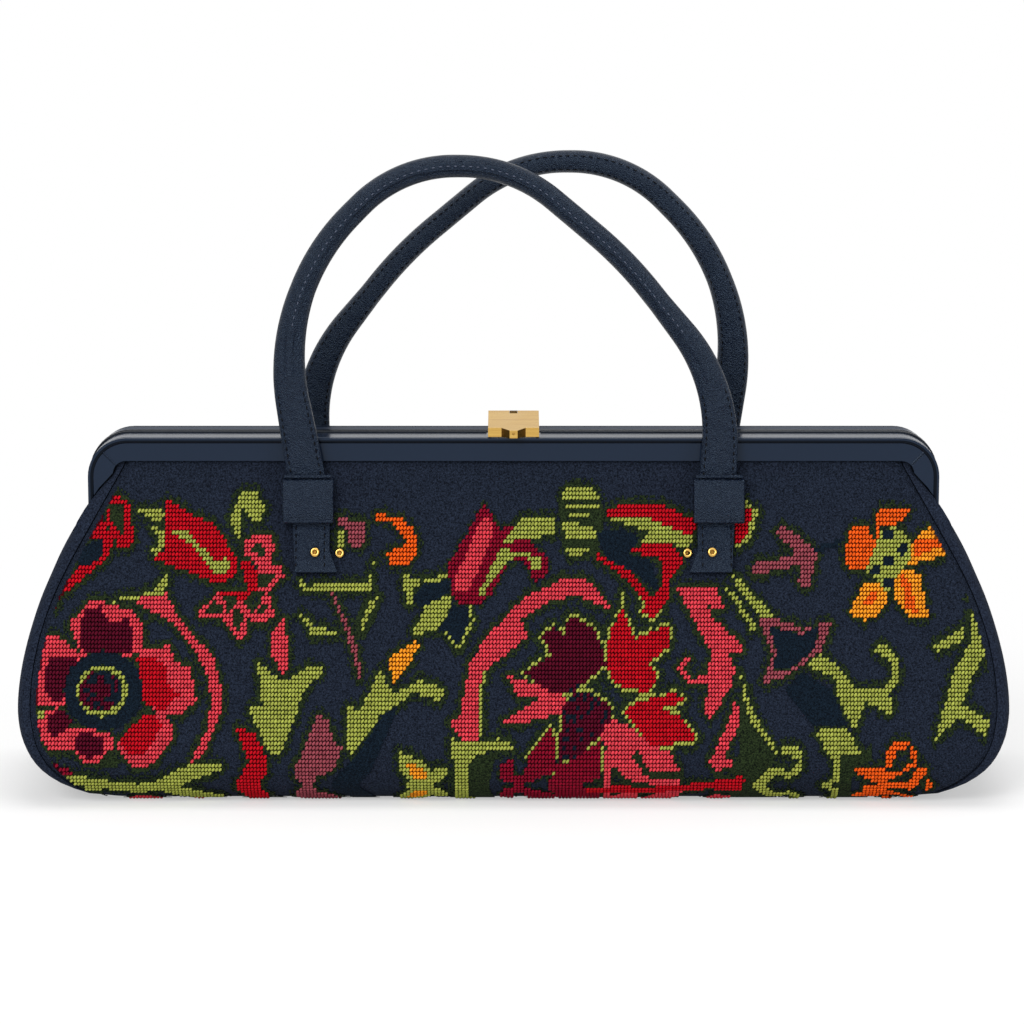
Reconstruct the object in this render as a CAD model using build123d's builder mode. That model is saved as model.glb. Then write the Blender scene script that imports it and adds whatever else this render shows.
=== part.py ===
from build123d import *
import math
import os

# Long frame handbag in wool carpet cloth, with a flip-over clasp and two leather strap handles.
# Millimetres. X runs along the bag, Y from front to back, Z up, origin under the middle of the base.

# Cloth body, seen from the side: a flat base, rounded heels and two leaning panels
cloth = 2.5
base_half_depth = 27.0
heel_radius = 20.0
panel_lean = 17.8
cloth_top = 133.0
reach = 220.0

# Cloth panel, seen from the front: half outline of the seam
neck_half_width = 147.5
panel_seam = [
    (neck_half_width, 126.8),
    (168.5, 90.0),
    (174.7, 77.3),
    (179.2, 63.9),
    (181.9, 50.1),
    (182.7, 36.0),
    (179.8, 22.1),
    (171.9, 10.4),
    (160.0, 2.6),
    (146.0, 0.0),
]
seam_gap = 0.1

# Gussets: height of each level and how far the cloth bulges there, with one squareness of plan
gusset_levels = [
    (1.0, 158.0),
    (15.0, 183.5),
    (37.0, 189.6),
    (56.0, 186.7),
    (75.0, 180.9),
    (100.0, 168.9),
]
gusset_square = 5.0
gusset_ratio = 0.58
gusset_folds = 8

# Shoulders: front view of the gusset cloth that runs up the seams in front of the frame's arms
shoulder_edge = [
    (148.6, 125.2),
    (151.6, 123.4),
    (157.2, 117.0),
    (162.4, 110.6),
    (168.6, 100.0),
    (171.8, 95.0),
    (164.0, 95.0),
]

# Lining and base board
lining_inset = 5.0
lining_wall = 0.8
lining_half_width = 150.5
lining_slit = 2.5
lining_slit_depth = 7.0
lining_waist = 77.0
lining_flank = (166.0, 58.0)
lining_corner = (164.0, 24.0)
lining_foot = (138.0, lining_inset)
board_size = (250.0, 50.0, 2.4)
board_corner = 8.0

# Frame: two channel-shaped halves of pressed metal
frame_half_width = 162.0
frame_top = 136.4
frame_corner = 15.0
arm_width = 9.5
arm_end = 91.0
rail_height = 8.9
inner_corner = 5.0
frame_front = 15.6
frame_gap = 0.3
frame_wall = 1.2
front_plate = 1.4
groove_front = 14.4
groove_back = 13.8
groove_depth = 0.6
lip_width = 1.3
band_recess = 0.5
bead_back = 1.8
bead_front = 0.6
mitre_length = 13.0
mitre_width = 0.5
mitre_depth = 0.3
mitre_offset = 6.2
arm_notch = [(152.0, 112.6), (161.0, 112.6), (157.8, 117.2), (152.0, 123.4)]
arm_notch_depth = 3.2

# Frame hinge at the lower ends of the arms
hinge_height = 84.0
lug_radius = 4.0
lug_root = 9.0
front_lug = (160.9, 162.0)
rear_lug = (159.4, 160.7)
hinge_pin_radius = 1.2
hinge_play = 0.05
pin_head_radius = 2.2
pin_head = 0.9

# Clasp on the middle of the top rails
clasp_half_width = 9.7
clasp_axis_y = 6.5
clasp_axis_z = 141.9
knuckle_radius = 1.8
knuckle_half_width = 1.5
clasp_pin_radius = 0.8
clasp_play = 0.05
apron_y = -16.0
apron_top = 140.4
apron_bottom = 136.9
clasp_wall = 1.2
spout_half_width = 4.6
boss_half_width = 1.5
boss_y = -19.5
boss_hole_radius = 0.5
boss_hole_depth = 1.5
cheek_back = 5.0
bracket_size = (16.0, 10.0, 1.0)
bracket_y = 7.5
striker_size = (11.0, 5.0, 0.8)
striker_y = -8.0
striker_proud = 0.2

# Leather handles
strap_width = 14.5
strap = 2.8
strap_lift = 0.3
handle_foot = 113.0
handle_lean = 4.0
handle_route = [
    (-77.0, 0.0),
    (-91.0, 78.0),
    (-43.0, 126.0),
    (0.0, 126.0),
    (42.0, 91.0),
    (79.6, 44.0),
    (77.0, 0.0),
]
handle_radii = [80.0, 50.0, 55.0, 150.0, 65.0]
handle_sections = [
    (0.0, strap_width, strap, 0.7),
    (0.06, 14.0, 3.4, 0.9),
    (0.14, 12.4, 6.6, 2.0),
    (0.24, 9.8, 8.0, 2.4),
    (0.5, 8.2, 8.2, 2.4),
    (0.76, 8.6, 8.0, 2.4),
    (0.86, 11.6, 6.8, 2.0),
    (0.94, 13.8, 3.4, 0.9),
    (1.0, strap_width, strap, 0.7),
]
handle_steps = 18
tab_bottom = 86.3
tab_flare = 3.0
tab_flare_height = 8.0
tab_slant = 1.6

# Keepers: leather loops over the strap ends
keeper_x = 77.9
keeper_levels = (105.0, 121.5)
keeper_fronts = (25.2, 22.2)
keeper_leather = 1.2
keeper_clearance = 1.2

# Tubular rivets
rivet_height = 93.5
tab_rivet_x = 75.2
side_rivet_x = 66.0
rivet_head_radius = 1.9
rivet_head = 0.9
rivet_shank_radius = 1.0
rivet_bore_radius = 0.7
rivet_bore_depth = 1.6
rivet_play = 0.05
rivet_flats = 6
rivet_head_flats = 10

# Needlework: raised wool worked on the front and back panels
pile = 1.0
pile_margin = 0.6
heel_flats = 3
heel_turn = 60.0
needlework_edge = [
    (146.6, 126.4),
    (167.4, 90.0),
    (173.4, 77.0),
    (178.0, 62.0),
    (180.9, 48.0),
    (181.5, 34.0),
    (179.2, 25.0),
    (173.4, 14.5),
    (166.6, 8.0),
]
smallest_field = 3.0

# The needlework chart: x counts to the right, y counts down, and each unit is a size on the panel
chart_centre = 513.5
chart_base = 810.7
chart_x = 0.379
chart_z = 0.3645

# Heights and slopes that follow from the driving dimensions
lean = math.radians(panel_lean)
heel_y = base_half_depth + heel_radius * math.cos(lean)
heel_z = heel_radius * (1 + math.sin(lean))


def panel_y(height):
    """Distance of the cover's outer face from the middle plane at a height."""
    if height < heel_z:
        return base_half_depth + math.sqrt(heel_radius**2 - (heel_radius - height) ** 2)
    return heel_y - (height - heel_z) * math.tan(lean)


def slope_length(height):
    """Distance up the panel from the heel to a height."""
    return (height - heel_z) / math.cos(lean)


front_panel = Plane(
    origin=(0, -heel_y, heel_z), x_dir=(1, 0, 0), z_dir=(0, -math.cos(lean), math.sin(lean))
)
rear_panel = Plane(
    origin=(0, heel_y, heel_z), x_dir=(-1, 0, 0), z_dir=(0, math.cos(lean), math.sin(lean))
)


def side_profile(inset, top):
    """Side view of the cloth body, moved inwards by a distance and cut off at a height."""
    with BuildSketch(Plane.YZ) as profile:
        with BuildLine():
            base = Line((0, inset), (-base_half_depth, inset))
            heel = JernArc(base @ 1, base % 1, heel_radius - inset, -(90 + panel_lean))
            rise = PolarLine(heel @ 1, (top - (heel @ 1).Y) / math.cos(lean), direction=heel % 1)
            crest = Line(rise @ 1, (0, top))
            Line(crest @ 1, base @ 0)
        make_face()
        mirror(about=Plane.YZ)
    return profile.sketch


def panel_outline(grow=0.0):
    """Front view of the cloth panel inside its seams."""
    with BuildSketch(Plane.XZ) as outline:
        with BuildLine():
            Polyline((neck_half_width, cloth_top), *panel_seam, (0, 0), (0, cloth_top), close=True)
        make_face()
        mirror(about=Plane.YZ)
        if grow:
            offset(amount=grow, kind=Kind.INTERSECTION)
    return outline.sketch


os.makedirs("parts", exist_ok=True)

# Carpet cover: front panel, base and back panel of one piece of cloth
rivet_points = [(-side_rivet_x, rivet_height), (-tab_rivet_x, rivet_height)]
rivet_points += [(-x, height) for x, height in rivet_points]
rivet_places = [(x, slope_length(height)) for x, height in rivet_points]

with BuildPart() as carpet_cover:
    extrude(side_profile(0, cloth_top), amount=reach, both=True)
    extrude(panel_outline(), amount=reach, both=True, mode=Mode.INTERSECT)
    extrude(side_profile(cloth, cloth_top + cloth), amount=reach, both=True, mode=Mode.SUBTRACT)
    for panel in (front_panel, rear_panel):
        with BuildSketch(panel):
            with Locations(*rivet_places):
                RegularPolygon(rivet_shank_radius + rivet_play, rivet_flats, major_radius=False)
        extrude(amount=-2 * cloth, mode=Mode.SUBTRACT)
carpet_cover.part.label = "carpet_cover"
export_step(carpet_cover.part, "parts/carpet_cover.step")


# Gussets: plain cloth ends that bulge past the seams, with the frame's arms inside them
def gusset_body(wall):
    """Loft of the gusset's plan, a part of a rounded rectangle, from level to level, less a wall."""
    turns = [math.pi * (step / gusset_folds - 0.5) for step in range(gusset_folds + 1)]
    with BuildPart() as body:
        for height, bulge in gusset_levels:
            level = height + wall if height == gusset_levels[0][0] else height
            depth = panel_y(level) - wall
            gusset_reach = gusset_ratio * depth
            root = bulge - gusset_reach - wall
            with BuildSketch(Plane.XY.offset(level)):
                with BuildLine():
                    points = []
                    for turn in turns:
                        out = abs(math.cos(turn)) ** (2 / gusset_square)
                        along = math.copysign(abs(math.sin(turn)) ** (2 / gusset_square), turn)
                        points.append((root + gusset_reach * out, depth * along))
                    Polyline(*points, close=True)
                make_face()
        loft(ruled=True)
    return body.part


with BuildPart() as shoulders:
    extrude(side_profile(0, cloth_top), amount=reach, both=True)
    extrude(side_profile(cloth, cloth_top + cloth), amount=reach, both=True, mode=Mode.SUBTRACT)
    with BuildSketch(Plane.XZ) as shoulder:
        with BuildLine():
            Polyline(*shoulder_edge, close=True)
        make_face()
    extrude(shoulder.sketch, amount=reach, both=True, mode=Mode.INTERSECT)

with BuildPart() as gusset_right:
    add(gusset_body(0))
    add(gusset_body(cloth), mode=Mode.SUBTRACT)
    add(shoulders.part)
    extrude(panel_outline(seam_gap), amount=reach, both=True, mode=Mode.SUBTRACT)
gusset_right.part.label = "gusset_right"
export_step(gusset_right.part, "parts/gusset_right.step")

with BuildPart() as gusset_left:
    mirror(gusset_right.part, about=Plane.YZ)
gusset_left.part.label = "gusset_left"
export_step(gusset_left.part, "parts/gusset_left.step")


# Lining: the inner bag, which hangs from the frame's channel inside the arms
def lining_outline(inset):
    """Front view of the lining, narrow between the arms and wider below them."""
    with BuildSketch(Plane.XZ) as outline:
        with BuildLine():
            neck = Line((lining_half_width, cloth_top), (lining_half_width, lining_waist))
            shoulder = Line(neck @ 1, lining_flank)
            hip = TangentArc(shoulder @ 1, lining_corner, tangent=shoulder % 1)
            corner = TangentArc(hip @ 1, lining_foot, tangent=hip % 1)
            base = Line(corner @ 1, (0, lining_inset))
            centre = Line(base @ 1, (0, cloth_top))
            Line(centre @ 1, neck @ 0)
        make_face()
        mirror(about=Plane.YZ)
        if inset:
            offset(amount=-inset, kind=Kind.INTERSECTION)
            with Locations((0, cloth_top)):
                Rectangle(2 * (lining_half_width - inset), 4 * inset)
    return outline.sketch


with BuildPart() as lining_hollow:
    extrude(side_profile(lining_inset + lining_wall, cloth_top + lining_wall), amount=reach, both=True)
    extrude(lining_outline(lining_wall), amount=reach, both=True, mode=Mode.INTERSECT)

with BuildPart() as lining:
    extrude(side_profile(lining_inset, cloth_top), amount=reach, both=True)
    extrude(lining_outline(0), amount=reach, both=True, mode=Mode.INTERSECT)
    add(lining_hollow.part, mode=Mode.SUBTRACT)
    with Locations((0, 0, cloth_top)):
        Box(2 * reach, 2 * lining_slit, 2 * lining_slit_depth, mode=Mode.SUBTRACT)
lining.part.label = "lining"
export_step(lining.part, "parts/lining.step")

# Base board: a stiff card that lies on the cloth under the lining
with BuildPart() as base_board:
    with BuildSketch(Plane.XY.offset(cloth)):
        RectangleRounded(board_size[0], board_size[1], board_corner)
    extrude(amount=board_size[2])
base_board.part.label = "base_board"
export_step(base_board.part, "parts/base_board.step")


# Frame halves: channels of pressed metal with a lipped front band, a groove and a rounded bead
def frame_face(depth, inset):
    """Front view of the frame filled in, drawn at a distance in front of the middle plane."""
    with BuildSketch(Plane.XZ.offset(depth)) as face:
        with Locations((0, arm_end)):
            Rectangle(
                2 * (frame_half_width - inset),
                frame_top - inset - arm_end,
                align=(Align.CENTER, Align.MIN),
            )
        fillet(face.vertices().group_by(Axis.Y)[-1], frame_corner - inset)
    return face.sketch


def frame_mouth():
    """Front view of the opening between the arms and under the rail."""
    with BuildSketch(Plane.XZ.offset(frame_front)) as mouth:
        with Locations((0, frame_top - rail_height)):
            Rectangle(2 * (frame_half_width - arm_width), frame_top, align=(Align.CENTER, Align.MAX))
        fillet(mouth.vertices().group_by(Axis.Y)[-1], inner_corner)
    return mouth.sketch


def frame_channel():
    """One half of the frame without its hinge lugs, as it stands at the front."""
    with BuildPart() as channel:
        extrude(frame_face(groove_back, 0), amount=-(groove_back - frame_gap))
        outer = channel.edges().filter_by(lambda edge: edge.center().Z > arm_end + 1)
        chamfer(outer.group_by(Axis.Y)[-1], bead_back)
        outer = channel.edges().filter_by(lambda edge: edge.center().Z > arm_end + 1)
        chamfer(outer.group_by(Axis.Y)[0], bead_front)
        extrude(frame_face(groove_front, groove_depth), amount=-(groove_front - groove_back))
        extrude(frame_face(frame_front, 0), amount=-(frame_front - groove_front))
        extrude(
            frame_face(frame_front - front_plate, frame_wall),
            amount=-(frame_front - front_plate - frame_gap - frame_wall),
            mode=Mode.SUBTRACT,
        )
        extrude(frame_mouth(), amount=-frame_front, mode=Mode.SUBTRACT)
        extrude(frame_face(frame_front, lip_width), amount=-band_recess, mode=Mode.SUBTRACT)
        with BuildSketch(Plane.XZ.offset(frame_front - band_recess)):
            for side in (-1, 1):
                with Locations((side * (frame_half_width - mitre_offset), frame_top - mitre_offset)):
                    Rectangle(mitre_length, mitre_width, rotation=45 * side)
        extrude(amount=-mitre_depth, mode=Mode.SUBTRACT)
        with BuildSketch(Plane.XZ.offset(frame_front)):
            for side in (-1, 1):
                with BuildLine():
                    Polyline(*[(side * x, z) for x, z in arm_notch], close=True)
                make_face()
        extrude(amount=-arm_notch_depth, mode=Mode.SUBTRACT)
    return channel.part


def hinge_lug(inner, outer, side):
    """Plate of a hinge lug from its root in the arm down to the eye round the pin."""
    with BuildPart() as lug:
        with BuildSketch(Plane.YZ.offset(inner)):
            with BuildLine():
                back = frame_wall + frame_gap
                Polyline(
                    (side * lug_root, arm_end + lug_root),
                    (side * back, arm_end + lug_root),
                    (side * back, arm_end),
                    (-side * lug_radius, hinge_height),
                    (0, hinge_height - lug_radius),
                    (side * lug_radius, hinge_height),
                    (side * lug_root, arm_end),
                    close=True,
                )
            make_face()
            with Locations((0, hinge_height)):
                Circle(lug_radius)
        extrude(amount=outer - inner)
    return lug.part


def add_lugs(inner, outer, root_outer, side):
    """Hinge lugs of one half, at both ends of the bag, with their roots against the arm's wall."""
    plate = hinge_lug(inner, outer, side)
    with BuildPart() as root:
        with Locations((inner, side * lug_root, arm_end)):
            Box(
                root_outer - inner,
                lug_root - frame_wall - frame_gap,
                lug_root,
                align=(Align.MIN, Align.MIN if side < 0 else Align.MAX, Align.MIN),
            )
    for piece in (plate, root.part):
        add(piece)
        add(piece.mirror(Plane.YZ))


def cut_pin_holes(radius):
    """Bore for the hinge pins through every lug of a half."""
    with BuildSketch(Plane.YZ) as bore:
        with Locations((0, hinge_height)):
            Circle(radius)
    extrude(bore.sketch, amount=reach, both=True, mode=Mode.SUBTRACT)


channel = frame_channel()

with BuildPart() as front_frame_half:
    add(channel)
    add_lugs(*front_lug, front_lug[1], -1)
    cut_pin_holes(hinge_pin_radius + hinge_play)
    with Locations((0, striker_y, frame_top)):
        Box(striker_size[0], striker_size[1], 2 * (striker_size[2] - striker_proud), mode=Mode.SUBTRACT)
front_frame_half.part.label = "front_frame_half"
export_step(front_frame_half.part, "parts/front_frame_half.step")

with BuildPart() as rear_frame_half:
    add(channel.rotate(Axis.Z, 180))
    add_lugs(*rear_lug, front_lug[0], 1)
    cut_pin_holes(hinge_pin_radius)
rear_frame_half.part.label = "rear_frame_half"
export_step(rear_frame_half.part, "parts/rear_frame_half.step")

# Hinge pins: headed pins through the lugs of both halves
with BuildPart() as hinge_pin_right:
    with BuildSketch(Plane.YZ.offset(rear_lug[0])):
        with Locations((0, hinge_height)):
            Circle(hinge_pin_radius)
    extrude(amount=front_lug[1] - rear_lug[0] + hinge_play)
    with BuildSketch(Plane.YZ.offset(front_lug[1] + hinge_play)):
        with Locations((0, hinge_height)):
            Circle(pin_head_radius)
    extrude(amount=pin_head)
hinge_pin_right.part.label = "hinge_pin_right"
export_step(hinge_pin_right.part, "parts/hinge_pin_right.step")

with BuildPart() as hinge_pin_left:
    mirror(hinge_pin_right.part, about=Plane.YZ)
hinge_pin_left.part.label = "hinge_pin_left"
export_step(hinge_pin_left.part, "parts/hinge_pin_left.step")

# Clasp striker: a plate let into the front rail under the lever
with BuildPart() as clasp_striker:
    with Locations((0, striker_y, frame_top + striker_proud)):
        Box(*striker_size, align=(Align.CENTER, Align.CENTER, Align.MAX))
clasp_striker.part.label = "clasp_striker"
export_step(clasp_striker.part, "parts/clasp_striker.step")


# Clasp bracket: a plate on the rear rail with the middle knuckle of the lever's hinge
def clasp_rod(radius, start, end):
    """Round bar on the axis of the lever's hinge, from one x to another."""
    with BuildSketch(Plane.YZ.offset(start)) as section:
        with Locations((clasp_axis_y, clasp_axis_z)):
            Circle(radius)
    return extrude(section.sketch, amount=end - start, mode=Mode.PRIVATE)


with BuildPart() as clasp_bracket:
    with Locations((0, bracket_y, frame_top)):
        Box(*bracket_size, align=(Align.CENTER, Align.CENTER, Align.MIN))
    with Locations((0, clasp_axis_y, frame_top)):
        Box(
            2 * knuckle_half_width,
            2 * knuckle_radius,
            clasp_axis_z - frame_top,
            align=(Align.CENTER, Align.CENTER, Align.MIN),
        )
    add(clasp_rod(knuckle_radius, -knuckle_half_width, knuckle_half_width))
    add(clasp_rod(clasp_pin_radius, -reach, reach), mode=Mode.SUBTRACT)
clasp_bracket.part.label = "clasp_bracket"
export_step(clasp_bracket.part, "parts/clasp_bracket.step")

with BuildPart() as clasp_pin:
    add(clasp_rod(clasp_pin_radius, -clasp_half_width, clasp_half_width))
clasp_pin.part.label = "clasp_pin"
export_step(clasp_pin.part, "parts/clasp_pin.step")

# Clasp lever: a sloping cap with an apron, cheeks and a spout that ends in a small boss
lever_crown = clasp_axis_z + knuckle_radius
with BuildPart() as clasp_lever:
    with BuildSketch(Plane.XY.offset(apron_bottom)):
        with BuildLine():
            edge = Polyline(
                (0, clasp_axis_y),
                (clasp_half_width, clasp_axis_y),
                (clasp_half_width, apron_y),
                (spout_half_width, apron_y),
                (boss_half_width, boss_y),
                (0, boss_y),
            )
            Line(edge @ 1, edge @ 0)
        make_face()
        mirror(about=Plane.YZ)
    extrude(amount=lever_crown - apron_bottom)
    with BuildSketch(Plane.YZ):
        with BuildLine():
            slope = (apron_top - lever_crown) / (apron_y - clasp_axis_y)
            tip = apron_top + slope * (boss_y - 1 - apron_y)
            Polyline(
                (clasp_axis_y, lever_crown),
                (boss_y - 1, tip),
                (boss_y - 1, lever_crown + 1),
                (clasp_axis_y, lever_crown + 1),
                close=True,
            )
        make_face()
    extrude(amount=reach, both=True, mode=Mode.SUBTRACT)
    with BuildSketch(Plane.YZ):
        with BuildLine():
            roof = lever_crown - clasp_wall
            Polyline(
                (cheek_back, apron_bottom - 1),
                (apron_y + clasp_wall, apron_bottom - 1),
                (apron_y + clasp_wall, roof + slope * (apron_y + clasp_wall - clasp_axis_y)),
                (clasp_axis_y, roof),
                (clasp_axis_y + 1, roof),
                (clasp_axis_y + 1, apron_bottom - 1),
                close=True,
            )
        make_face()
    extrude(amount=clasp_half_width - clasp_wall, both=True, mode=Mode.SUBTRACT)
    with Locations((0, cheek_back, apron_bottom)):
        Box(
            2 * clasp_half_width,
            clasp_axis_y,
            lever_crown - clasp_wall - apron_bottom,
            align=(Align.CENTER, Align.MIN, Align.MIN),
            mode=Mode.SUBTRACT,
        )
    add(clasp_rod(knuckle_radius, -clasp_half_width, clasp_half_width))
    with Locations((0, clasp_axis_y, clasp_axis_z)):
        Box(
            2 * (knuckle_half_width + clasp_play),
            4 * knuckle_radius,
            4 * knuckle_radius,
            mode=Mode.SUBTRACT,
        )
    add(clasp_rod(clasp_pin_radius + clasp_play, -reach, reach), mode=Mode.SUBTRACT)
    with BuildSketch(Plane.XZ.offset(-boss_y)):
        with Locations((0, (apron_bottom + apron_top) / 2)):
            Circle(boss_hole_radius)
    extrude(amount=-boss_hole_depth, mode=Mode.SUBTRACT)
clasp_lever.part.label = "clasp_lever"
export_step(clasp_lever.part, "parts/clasp_lever.step")

# Handles: one leather strap each, flat and riveted at the ends, rolled where the hand holds it
foot_centre = strap_lift + strap / 2
handle_plane = Plane(
    origin=(
        0,
        -panel_y(handle_foot) - foot_centre * math.cos(lean),
        handle_foot + foot_centre * math.sin(lean),
    ),
    x_dir=(1, 0, 0),
    z_dir=(0, -math.cos(math.radians(handle_lean)), math.sin(math.radians(handle_lean))),
)
tab_top = slope_length(handle_foot)
tab_low = slope_length(tab_bottom)


def tab_outline(side, grow=0.0):
    """Flat end of a strap on the panel, slanted and flared towards the middle of the bag."""
    half = strap_width / 2 + grow
    foot = side * abs(handle_route[0][0])
    inner = foot - side * half
    outer = foot + side * half
    return Polyline(
        (outer, tab_top),
        (inner, tab_top),
        (inner, tab_low + tab_flare_height),
        (inner - side * tab_flare, tab_low + grow),
        (outer - side * tab_slant, tab_low - grow),
        close=True,
    )


with BuildLine(handle_plane) as arch:
    FilletPolyline(*handle_route, radius=handle_radii)
route = arch.wires()[0]


def strap_section(place):
    """Width, depth and edge bevel of the strap at a share of its length."""
    for before, after in zip(handle_sections, handle_sections[1:]):
        if place <= after[0]:
            share = (place - before[0]) / (after[0] - before[0])
            return [low + share * (high - low) for low, high in zip(before[1:], after[1:])]


with BuildPart() as front_handle:
    for step in range(handle_steps + 1):
        place = step / handle_steps
        width, depth, bevel = strap_section(place)
        ahead = route % place
        with BuildSketch(Plane(origin=route @ place, x_dir=ahead.cross(handle_plane.z_dir), z_dir=ahead)):
            Rectangle(width, depth)
            chamfer(vertices(), bevel)
    loft(ruled=True)
    with BuildSketch(front_panel.offset(strap_lift)):
        for side in (-1, 1):
            with BuildLine():
                tab_outline(side)
            make_face()
        with Locations(*[place for place in rivet_places if abs(place[0]) == tab_rivet_x]):
            RegularPolygon(
                rivet_shank_radius + rivet_play, rivet_flats, major_radius=False, mode=Mode.SUBTRACT
            )
    extrude(amount=strap)
    for end in (0, 1):
        with BuildSketch(Plane(origin=route @ end, x_dir=(0, 1, 0), z_dir=(1, 0, 0))):
            Circle(strap / 2)
        extrude(amount=strap_width / 2, both=True)
front_handle.part.label = "front_handle"
export_step(front_handle.part, "parts/front_handle.step")

with BuildPart() as rear_handle:
    add(front_handle.part.rotate(Axis.Z, 180))
rear_handle.part.label = "rear_handle"
export_step(rear_handle.part, "parts/rear_handle.step")


# Keepers: folded leather loops that hold the strap ends against the panel
def keeper_loop():
    """Loop at the right side of the front panel."""
    half = strap_width / 2 + keeper_clearance
    low, high = keeper_levels
    low_front, high_front = keeper_fronts
    with BuildPart() as loop:
        with BuildSketch(Plane.YZ.offset(keeper_x)):
            with BuildLine():
                Polyline(
                    (-panel_y(low) - strap_lift, low),
                    (-low_front, low),
                    (-high_front, high),
                    (-panel_y(high) - strap_lift, high),
                    close=True,
                )
            make_face()
        extrude(amount=half + keeper_leather, both=True)
        with BuildSketch(Plane.YZ.offset(keeper_x)):
            with BuildLine():
                Polyline(
                    (0, low - keeper_leather),
                    (-low_front + keeper_leather, low - keeper_leather),
                    (-low_front + keeper_leather, low),
                    (-high_front + keeper_leather, high),
                    (0, high),
                    close=True,
                )
            make_face()
        extrude(amount=half, both=True, mode=Mode.SUBTRACT)
    return loop.part


right_loop = keeper_loop()
left_loop = right_loop.mirror(Plane.YZ)
loops = {
    "keeper_front_left": left_loop,
    "keeper_front_right": right_loop,
    "keeper_rear_left": right_loop.rotate(Axis.Z, 180),
    "keeper_rear_right": left_loop.rotate(Axis.Z, 180),
}
for name, loop in loops.items():
    with BuildPart() as keeper:
        add(loop)
    keeper.part.label = name
    export_step(keeper.part, f"parts/{name}.step")


# Rivets: tubular, with a rolled head and a bore that shows in the middle
def rivet(grip):
    """Rivet on its own axis, with the head on the plane of the leather or cloth."""
    with BuildPart() as tube:
        with BuildSketch():
            RegularPolygon(rivet_head_radius, rivet_head_flats)
        extrude(amount=rivet_head)
        chamfer(faces().sort_by(Axis.Z)[-1].edges(), rivet_head / 2)
        with BuildSketch():
            RegularPolygon(rivet_shank_radius, rivet_flats, major_radius=False)
        extrude(amount=-grip)
        with BuildSketch(Plane.XY.offset(rivet_head)):
            RegularPolygon(rivet_bore_radius, rivet_flats, major_radius=False)
        extrude(amount=-rivet_bore_depth, mode=Mode.SUBTRACT)
    return tube.part


for panel_name, panel in (("front", front_panel), ("rear", rear_panel)):
    with BuildPart() as rivets:
        for x, rise in rivet_places:
            seat = strap_lift + strap if abs(x) == tab_rivet_x else 0
            with Locations(panel.offset(seat) * Location((x, rise, 0))):
                add(rivet(seat + cloth))
    rivets.part.label = f"{panel_name}_rivets"
    export_step(rivets.part, f"parts/{panel_name}_rivets.step")


# Needlework: raised wool worked on the cloth. Each motif is a list of fields, a colour and an outline in
# chart units, and later fields lie over earlier ones. Bare fields show the ground again.
def disc(x, y, radius):
    """Round field of a flower's centre, with a flat for each group of stitches."""
    turns = [math.radians(30 * step) for step in range(12)]
    return [(x + radius * math.cos(turn), y + radius * math.sin(turn)) for turn in turns]


left_flower = [
    ("coral", [
        (70, 624), (88, 602), (102, 602), (132, 612), (144, 624), (142, 648), (130, 658), (84, 658),
    ]),
    ("coral", [(44, 638), (62, 638), (84, 656), (66, 706), (34, 706), (30, 690)]),
    ("coral", [(137, 650), (172, 646), (175, 662), (192, 668), (198, 700), (182, 714), (158, 716)]),
    ("coral", [(38, 726), (46, 712), (60, 706), (74, 722), (66, 734), (76, 744), (72, 752), (50, 748)]),
    ("coral", [(66, 734), (78, 726), (112, 732), (118, 746), (100, 762), (84, 762)]),
    ("coral", [(118, 746), (146, 712), (168, 716), (176, 726), (174, 740), (150, 768), (134, 766)]),
    ("maroon", [
        (84, 612), (100, 606), (112, 624), (130, 618), (134, 640), (132, 652), (84, 654), (80, 632),
    ]),
    ("maroon", [(50, 655), (70, 655), (78, 660), (66, 698), (58, 702), (46, 690)]),
    ("scarlet", [(138, 660), (152, 655), (168, 665), (166, 678), (180, 694), (166, 708), (146, 706)]),
    ("maroon", [(52, 712), (66, 710), (74, 722), (58, 736), (50, 728)]),
    ("maroon", [(76, 734), (94, 732), (108, 738), (104, 752), (92, 758), (80, 750)]),
    ("scarlet", [(120, 740), (146, 714), (160, 716), (164, 726), (146, 752), (134, 756)]),
    ("teal", disc(105, 690, 40)),
    ("lime", disc(104, 690, 26)),
    ("teal", disc(104, 690, 20)),
    ("maroon", disc(104, 690, 8)),
]
tulip = [
    ("scarlet", [
        (165, 498), (180, 510), (214, 526), (239, 562), (234, 578), (218, 584), (152, 558), (166, 549),
    ]),
    ("lime", [(167, 530), (186, 531), (214, 560), (228, 558), (230, 570), (216, 577), (194, 546)]),
    ("lime", [(132, 508), (158, 508), (164, 516), (160, 524)]),
    ("lime", [(152, 528), (164, 530), (164, 548), (156, 556), (148, 552), (160, 544)]),
]
left_sprays = [
    ("lime", [
        (240, 494), (256, 494), (264, 506), (262, 520), (250, 520), (240, 508), (240, 540), (228, 522),
    ]),
    ("scarlet", [(104, 498), (118, 496), (128, 504), (134, 540), (130, 548), (118, 548), (104, 520)]),
    ("forest", [(106, 504), (118, 502), (124, 510), (124, 540), (110, 520)]),
    ("scarlet", [
        (92, 524), (100, 512), (112, 540), (110, 556), (58, 600), (52, 617), (56, 592), (104, 540),
        (82, 538),
    ]),
    ("teal", [(92, 542), (102, 540), (104, 552), (92, 564), (78, 566), (80, 552)]),
    ("lime", [(112, 604), (122, 596), (150, 594), (166, 576), (168, 584), (162, 596), (122, 600)]),
    ("lime", [
        (70, 778), (130, 790), (156, 786), (194, 762), (220, 762), (224, 770), (164, 794), (90, 790),
    ]),
]
left_arc = [
    ("coral", [
        (128, 598), (166, 592), (176, 614), (214, 658), (222, 684), (222, 712), (206, 754), (190, 764),
        (210, 726), (212, 696), (206, 666), (172, 622),
    ]),
    ("scarlet", [(238, 728), (256, 732), (268, 756), (268, 772), (246, 811), (226, 811), (250, 760)]),
]
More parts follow.
